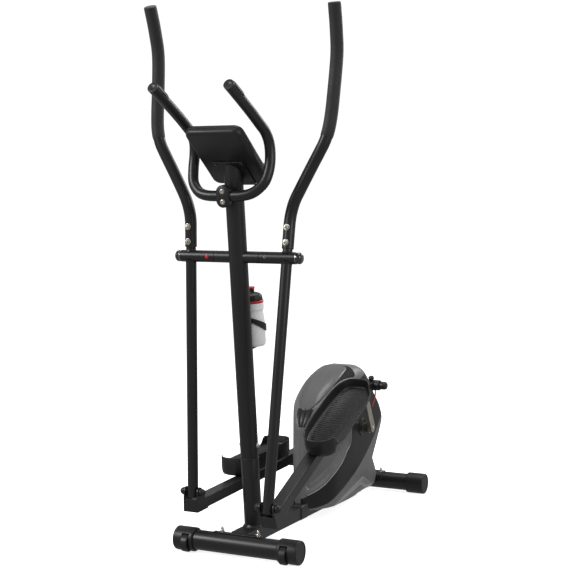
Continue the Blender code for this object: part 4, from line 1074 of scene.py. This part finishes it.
def smooth_outline():
    """The side view's closed outline, rounded everywhere but at the notch in the back."""
    corner = 20
    ordered = SHROUD_OUTLINE[corner:] + SHROUD_OUTLINE[:corner] + [SHROUD_OUTLINE[corner]]
    return [tuple(p) for p in curve_through(ordered, 5)][:-1]


def half_width(y):
    """Half of the shroud's width: a narrow nose that widens into straight sides."""
    flank = 0.0175 + (y - 0.402) * 0.494
    gap = flank - SHROUD_HALF_WIDTH
    return 0.5 * (flank + SHROUD_HALF_WIDTH - math.sqrt(gap * gap + 0.00035))


def distance_to(point, line):
    best = 1e9
    px, py = point
    for (ax, ay), (bx, by) in zip(line, line[1:]):
        dx, dy = bx - ax, by - ay
        length = dx * dx + dy * dy
        t = 0.0 if length == 0 else min(max(((px - ax) * dx + (py - ay) * dy) / length, 0.0), 1.0)
        best = min(best, math.hypot(px - ax - t * dx, py - ay - t * dy))
    return best


def panel(outline, side, surface, depth, spacing=0.012, edges=(0.0, 0.0005, 0.0017)):
    """A plate on the shroud's side: surface(y, z, d) is its height in X at distance d from its border."""
    bm = bmesh.new()
    loop = [bm.verts.new((0, y, z)) for y, z in outline]
    centre = bm.faces.new(loop)
    for inset in edges[1:]:
        bmesh.ops.inset_region(bm, faces=[centre], thickness=inset, use_even_offset=True)
    low_y, high_y = min(p[0] for p in outline), max(p[0] for p in outline)
    low_z, high_z = min(p[1] for p in outline), max(p[1] for p in outline)
    for axis, low, high in ((1, low_y, high_y), (2, low_z, high_z)):
        count = int((high - low) / spacing)
        for i in range(1, count + 1):
            at = low + (high - low) * i / (count + 1)
            co, no = [0, 0, 0], [0, 0, 0]
            co[axis], no[axis] = at, 1
            geometry = bm.verts[:] + bm.edges[:] + bm.faces[:]
            bmesh.ops.bisect_plane(bm, geom=geometry, plane_co=co, plane_no=no)
    border = [edge for edge in bm.edges if len(edge.link_faces) == 1]
    made = bmesh.ops.extrude_edge_only(bm, edges=border)
    deep = {v for v in made["geom"] if isinstance(v, bmesh.types.BMVert)}
    closed = list(outline) + [outline[0]]
    for vert in bm.verts:
        y, z = vert.co.y, vert.co.z
        height = surface(y, z, distance_to((y, z), closed))
        if vert in deep:
            height = depth(y) if callable(depth) else height - depth
        vert.co.x = side * height
    return bm


BAND_INNER = [(0.4040, 0.0905), (0.4230, 0.0975), (0.4449, 0.1037), (0.4690, 0.1125), (0.4915, 0.1242),
              (0.5277, 0.1485), (0.5710, 0.1736), (0.6000, 0.1930), (0.6217, 0.2130), (0.6400, 0.2240),
              (0.6499, 0.2355), (0.6535, 0.2560), (0.6553, 0.2870), (0.6560, 0.3300), (0.6640, 0.3750),
              (0.6850, 0.4150), (0.7200, 0.4420)]
BAND_OUTER = [(0.7750, 0.4560), (0.8150, 0.4350), (0.8420, 0.4010), (0.8700, 0.3600), (0.8972, 0.3300),
              (0.9150, 0.3060), (0.9180, 0.2940), (0.8948, 0.2690), (0.8662, 0.2411), (0.8504, 0.2263),
              (0.8036, 0.1923), (0.7606, 0.1656), (0.7005, 0.1354), (0.6142, 0.1018), (0.5570, 0.0824),
              (0.5209, 0.0681), (0.4931, 0.0590), (0.4500, 0.0540), (0.4180, 0.0560), (0.4060, 0.0640)]


def band_outline():
    inner = [tuple(p) for p in curve_through(BAND_INNER, 4)]
    outer = [tuple(p) for p in curve_through(BAND_OUTER, 4)]
    return inner + outer


INNER_EDGE = [tuple(p) for p in curve_through(BAND_INNER, 2)]


def panel_hollow(y, z):
    """Depth of the concave grey panel in front of the band, behind a narrow lip."""
    spans = zip(INNER_EDGE, INNER_EDGE[1:])
    (ay, az), (by, bz) = min(spans, key=lambda span: distance_to((y, z), span))
    if (by - ay) * (z - az) - (bz - az) * (y - ay) <= 0:
        return 0.0
    away = distance_to((y, z), INNER_EDGE)
    fade = smooth_step((y - 0.412) / 0.030) * smooth_step((0.430 - z) / 0.060)
    ledge = 0.0030 * smooth_step((away - 0.0055) / 0.0030)
    bowl = 0.0160 * smooth_step((away - 0.0150) / 0.0060) * (1 - smooth_step((away - 0.0260) / 0.0900))
    return fade * (ledge * (1 - smooth_step((away - 0.05) / 0.06)) + bowl)


def round_size(y, z):
    """Radius of the shroud's rounded edge: wide on the shoulder, small below."""
    wide = min(SHOULDER_RADIUS, half_width(y) - 0.020)
    return SHROUD_FILLET + (wide - SHROUD_FILLET) * smooth_step((z - 0.330) / 0.090)


def edge_drop(y, z, d):
    """How far the side falls away near the outline."""
    fillet = round_size(y, z)
    reach = min(d, fillet)
    return fillet - math.sqrt(max(fillet**2 - (fillet - reach) ** 2, 0.0))


def build_shroud(side_name, side):
    outline = smooth_outline()
    closed = outline + [outline[0]]

    def surface(y, z, d):
        return half_width(y) - edge_drop(y, z, d) - panel_hollow(y, z)

    bm = panel(outline, side, surface, lambda y: 0.0003, spacing=0.0062,
               edges=(0.0, 0.0004, 0.0012, 0.0020, 0.0028, 0.0036, 0.0050))
    piece("shroud_shell_" + side_name, bm, MACHINE, "frame", GREY, ["shroud_" + side_name],
          edge=0, angle=50)

    def raised(y, z, d):
        border = distance_to((y, z), closed)
        return half_width(y) - edge_drop(y, z, border) + 0.0010 - 0.0007 * (1 - smooth_step(d / 0.0022))

    bm = panel(band_outline(), side, raised, 0.0080, spacing=0.0062)
    piece("band_" + side_name, bm, MACHINE, "frame", BAND, edge=0, angle=50)

    rim = [Vector((side * (half_width(y) + 0.0006), y - 0.0012, z + 0.0020)) for y, z in INNER_EDGE[2:-4]]
    piece("band_rim_" + side_name, skin(path_rings(rim, 0.0018, 10)), MACHINE, "frame", RIM,
          edge=0)

    facet = [(0.5200, 0.0455), (0.5880, 0.0680), (0.6657, 0.0850), (0.7521, 0.1038), (0.8370, 0.0640),
             (0.8350, 0.0560), (0.7771, 0.0575), (0.7310, 0.0799), (0.6400, 0.0640), (0.5350, 0.0445)]

    def light_strip(y, z, d):
        border = distance_to((y, z), closed)
        return half_width(y) - edge_drop(y, z, border) + 0.0012 * smooth_step(d / 0.003) + 0.0004

    bm = panel(facet, side, light_strip, 0.0060, spacing=0.008)
    piece("foot_strip_" + side_name, bm, MACHINE, "frame", PANEL, edge=0, angle=40)

    line = curve_through([(0.8600, 0.3950), (0.8609, 0.3732), (0.8528, 0.3570), (0.8371, 0.3420),
                          (0.8278, 0.3335)], 8)
    rings = []
    for i, point in enumerate(line):
        along = (line[min(i + 1, len(line) - 1)] - line[max(i - 1, 0)]).normalized()
        across = Vector((-along.y, along.x)) * (0.0024 * smooth_step(min(i, len(line) - 1 - i) / 3 + 0.3))
        rings.append([Vector((side * x, *(point + across * s))) for x, s in
                      ((0.0780, 1), (0.0812, 1), (0.0817, 0), (0.0812, -1), (0.0780, -1))])
    piece("red_accent_" + side_name, skin(rings), MACHINE, "frame", RED, edge=0)


def top_line(samples):
    """Points and normals along the shroud's top, from the nose to the back, evenly by y."""
    spine = [Vector(p) for p in SHROUD_OUTLINE[4:16]]
    line = curve_through(spine, 12)
    found = []
    for y in samples:
        index = min(range(1, len(line) - 1), key=lambda i: abs(line[i].x - y))
        a, b = line[index - 1], line[index + 1]
        here = line[index]
        along = (b - a).normalized()
        if abs(along.x) > 1e-6:
            here = here + along * ((y - here.x) / along.x)
        found.append((here, Vector((-along.y, along.x))))
    return found


def strip_on_top(samples, width, lift, crown, sink=0.004, columns=25, roll=0.0):
    """A closed strip that follows the shroud's top and shoulder; width(y) is its half width."""
    bm = bmesh.new()
    top, under = [], []
    for (here, normal), y in zip(top_line(samples), samples):
        row, low = [], []
        for c in range(columns):
            share = -1 + 2 * c / (columns - 1)
            x = width(y) * math.copysign(abs(share) ** 0.8, share)
            fillet = round_size(y, here.y)
            reach = min(max(abs(x) - (half_width(y) - fillet), 0.0), fillet)
            fall = fillet - math.sqrt(max(fillet**2 - reach**2, 0.0))
            rise = lift + crown * (1 - abs(share) ** 4) - fall - roll * abs(share) ** 12
            row.append(bm.verts.new((x, here.x + normal.x * rise, here.y + normal.y * rise)))
            deep = sink + fall
            low.append(bm.verts.new((x, here.x - normal.x * deep, here.y - normal.y * deep)))
        top.append(row)
        under.append(low)
    for rows, flip in ((top, False), (under, True)):
        for a, b in zip(rows, rows[1:]):
            for i in range(columns - 1):
                face = (a[i], a[i + 1], b[i + 1], b[i])
                bm.faces.new(face[::-1] if flip else face)
    for a, b, c, d in zip(top, top[1:], under, under[1:]):
        bm.faces.new((a[0], b[0], d[0], c[0]))
        bm.faces.new((a[-1], c[-1], d[-1], b[-1]))
    for row, low in ((top[0], under[0]), (top[-1], under[-1])):
        for i in range(columns - 1):
            bm.faces.new((row[i], low[i], low[i + 1], row[i + 1]))
    return bm


def interpolate(table, y):
    for (y0, w0), (y1, w1) in zip(table, table[1:]):
        if y <= y1:
            t = (y - y0) / (y1 - y0)
            return w0 + (w1 - w0) * min(max(t, 0.0), 1.0)
    return table[-1][1]


# Half widths of the hood and of the painted-shade strip in the slot round it, by Y.
COVER_WIDTH = [(0.4600, 0.0030), (0.4608, 0.0100), (0.4640, 0.0180), (0.4700, 0.0250), (0.4800, 0.0320),
               (0.4950, 0.0400), (0.5150, 0.0470), (0.5400, 0.0515), (0.5700, 0.0545), (0.6100, 0.0555),
               (0.6400, 0.0540), (0.6700, 0.0510), (0.6850, 0.0480), (0.6930, 0.0430), (0.6970, 0.0350),
               (0.6985, 0.0200)]
SLOT_SHADE_WIDTH = [(0.5600, 0.0535), (0.5900, 0.0580), (0.6200, 0.0640), (0.6500, 0.0700), (0.6750, 0.0735),
              (0.6900, 0.0735), (0.6980, 0.0690), (0.7040, 0.0600), (0.7070, 0.0450)]


def spread(low, high, count):
    """Stations from low to high, closer at both ends."""
    return [low + (high - low) * (0.5 - 0.5 * math.cos(math.pi * i / count)) for i in range(count + 1)]


def build_top_cover():
    ys = spread(COVER_WIDTH[0][0], COVER_WIDTH[-1][0], 90)
    bm = strip_on_top(ys, lambda y: interpolate(COVER_WIDTH, y), 0.0014, 0.0016, roll=0.0012)
    piece("hood", bm, MACHINE, "frame", TOP, ["top_cover"], edge=0, angle=50)
    # A dark sheet where the slot round the hood is in shade: painted shade.
    ys = spread(SLOT_SHADE_WIDTH[0][0], SLOT_SHADE_WIDTH[-1][0], 50)
    bm = strip_on_top(ys, lambda y: interpolate(SLOT_SHADE_WIDTH, y), 0.0008, 0.0, columns=33)
    piece("hood_slot_shade", bm, MACHINE, "frame", PAINTED_SHADE, edge=0, angle=50)

    bm = bmesh.new()
    start, length = 0.4330, 0.0310
    samples = [start + length * i / 60 for i in range(61)]
    count = 49
    rows = []
    for (here, normal), y in zip(top_line(samples), samples):
        share = (y - start) / length
        width = 0.0100 + 0.0120 * math.sqrt(smooth_step(share / 0.5)) + 0.0060 * share
        row = []
        for c in range(count):
            across = -1 + 2 * c / (count - 1)
            margin = smooth_step((1 - abs(across)) / 0.2)
            flute = 0.0030 * (1 - abs(math.sin(across * math.pi * 1.5))) * margin
            rise = 0.0008 + flute * (0.35 + 0.65 * share)
            row.append(bm.verts.new((width * across, here.x + normal.x * rise, here.y + normal.y * rise)))
        rows.append(row)
    for a, b in zip(rows, rows[1:]):
        for i in range(count - 1):
            bm.faces.new((a[i], a[i + 1], b[i + 1], b[i]))
    piece("nose_flutes", bm, MACHINE, "frame", FLUTE, edge=0, angle=60)

    sleeve = [Vector((x, 0, z)) for x, z in rounded_box_ring(0, 0.0305, 0.0285, 0.0755, 0.008)]
    rings = [[p + Vector((0, y, 0)) for p in sleeve] for y in (0.3720, 0.4190)]
    lead = [Vector((p.x * 0.95, 0.3700, 0.051 + (p.z - 0.051) * 0.95)) for p in sleeve]
    piece("rail_sleeve", skin([lead] + rings), MACHINE, "frame", PLASTIC, edge=0.0008)


# Stage.

LIGHTS = [("key", (-2.6, -3.2, 3.0), 1.6, 120), ("fill", (3.6, -1.2, 2.2), 1.6, 45),
          ("rear", (1.5, 3.6, 2.8), 2.0, 60), ("top", (0.0, 0.4, 4.2), 2.2, 70)]
CAMERA_AT = (1.8285, ZERO_Y - 3.3792, 1.0660)
CAMERA_FORWARD = Vector((-0.44293, 0.89400, -0.06774))
CAMERA_LENS = 83.42


def build_stage():
    """A pale floor that gives the machine no light from below, a soft white world, lights and the camera."""
    bpy.ops.mesh.primitive_plane_add(size=60, location=(0, 0, 0))
    floor = bpy.context.object
    floor.name = "floor"
    mat, tree, shader = new_material("floor", (0.90, 0.90, 0.90), 0.7, specular=0.2)
    shader.inputs["Emission Color"].default_value = (1, 1, 1, 1)
    shader.inputs["Emission Strength"].default_value = 0.80
    floor.data.materials.append(mat)
    floor.visible_diffuse = False
    floor.visible_glossy = False

    world = bpy.data.worlds.new("studio")
    bpy.context.scene.world = world
    world.use_nodes = True
    tree = world.node_tree
    back = tree.nodes["Background"]
    back.inputs["Color"].default_value = (1, 1, 1, 1)
    back.inputs["Strength"].default_value = 0.42
    bright = tree.nodes.new("ShaderNodeBackground")
    bright.inputs["Color"].default_value = (1, 1, 1, 1)
    bright.inputs["Strength"].default_value = 1.05
    rays = tree.nodes.new("ShaderNodeLightPath")
    mix = tree.nodes.new("ShaderNodeMixShader")
    tree.links.new(rays.outputs["Is Camera Ray"], mix.inputs["Fac"])
    tree.links.new(back.outputs["Background"], mix.inputs[1])
    tree.links.new(bright.outputs["Background"], mix.inputs[2])
    tree.links.new(mix.outputs["Shader"], tree.nodes["World Output"].inputs["Surface"])

    for name, at, size, energy in LIGHTS:
        light = bpy.data.lights.new(name, "AREA")
        light.energy = energy
        light.size = size
        obj = bpy.data.objects.new(name, light)
        obj.location = at
        aim = Vector((0, 0, 0.7)) - Vector(at)
        obj.rotation_euler = aim.to_track_quat("-Z", "Y").to_euler()
        bpy.context.scene.collection.objects.link(obj)

    camera = bpy.data.cameras.new("camera")
    camera.lens = CAMERA_LENS
    camera.sensor_width = 36
    obj = bpy.data.objects.new("camera", camera)
    obj.location = CAMERA_AT
    obj.rotation_euler = CAMERA_FORWARD.to_track_quat("-Z", "Y").to_euler()
    bpy.context.scene.collection.objects.link(obj)
    bpy.context.scene.camera = obj
    bpy.context.scene.view_settings.view_transform = "Standard"


dress_cad_nodes()
build_mast()
build_crossbar()
build_stabiliser("front_stabiliser", FRONT, "front_saddle", 0.081, 12, 104, (0.0600, 0.0120, 0.0315))
build_stabiliser("rear_stabiliser", REAR, "rear_saddle", 0.050, 76, 168, (0.0400, -0.0120, 0.0315))
build_rail_nose()
build_handlebar()
build_console()
build_bottle()
for side_name, side in SIDES.items():
    build_caps(side_name, side)
    build_arm(side_name, side)
    build_bar(side_name, side)
    build_pedal(side_name, side)
    build_crank(side_name, side)
    build_shroud(side_name, side)
build_top_cover()
build_stage()
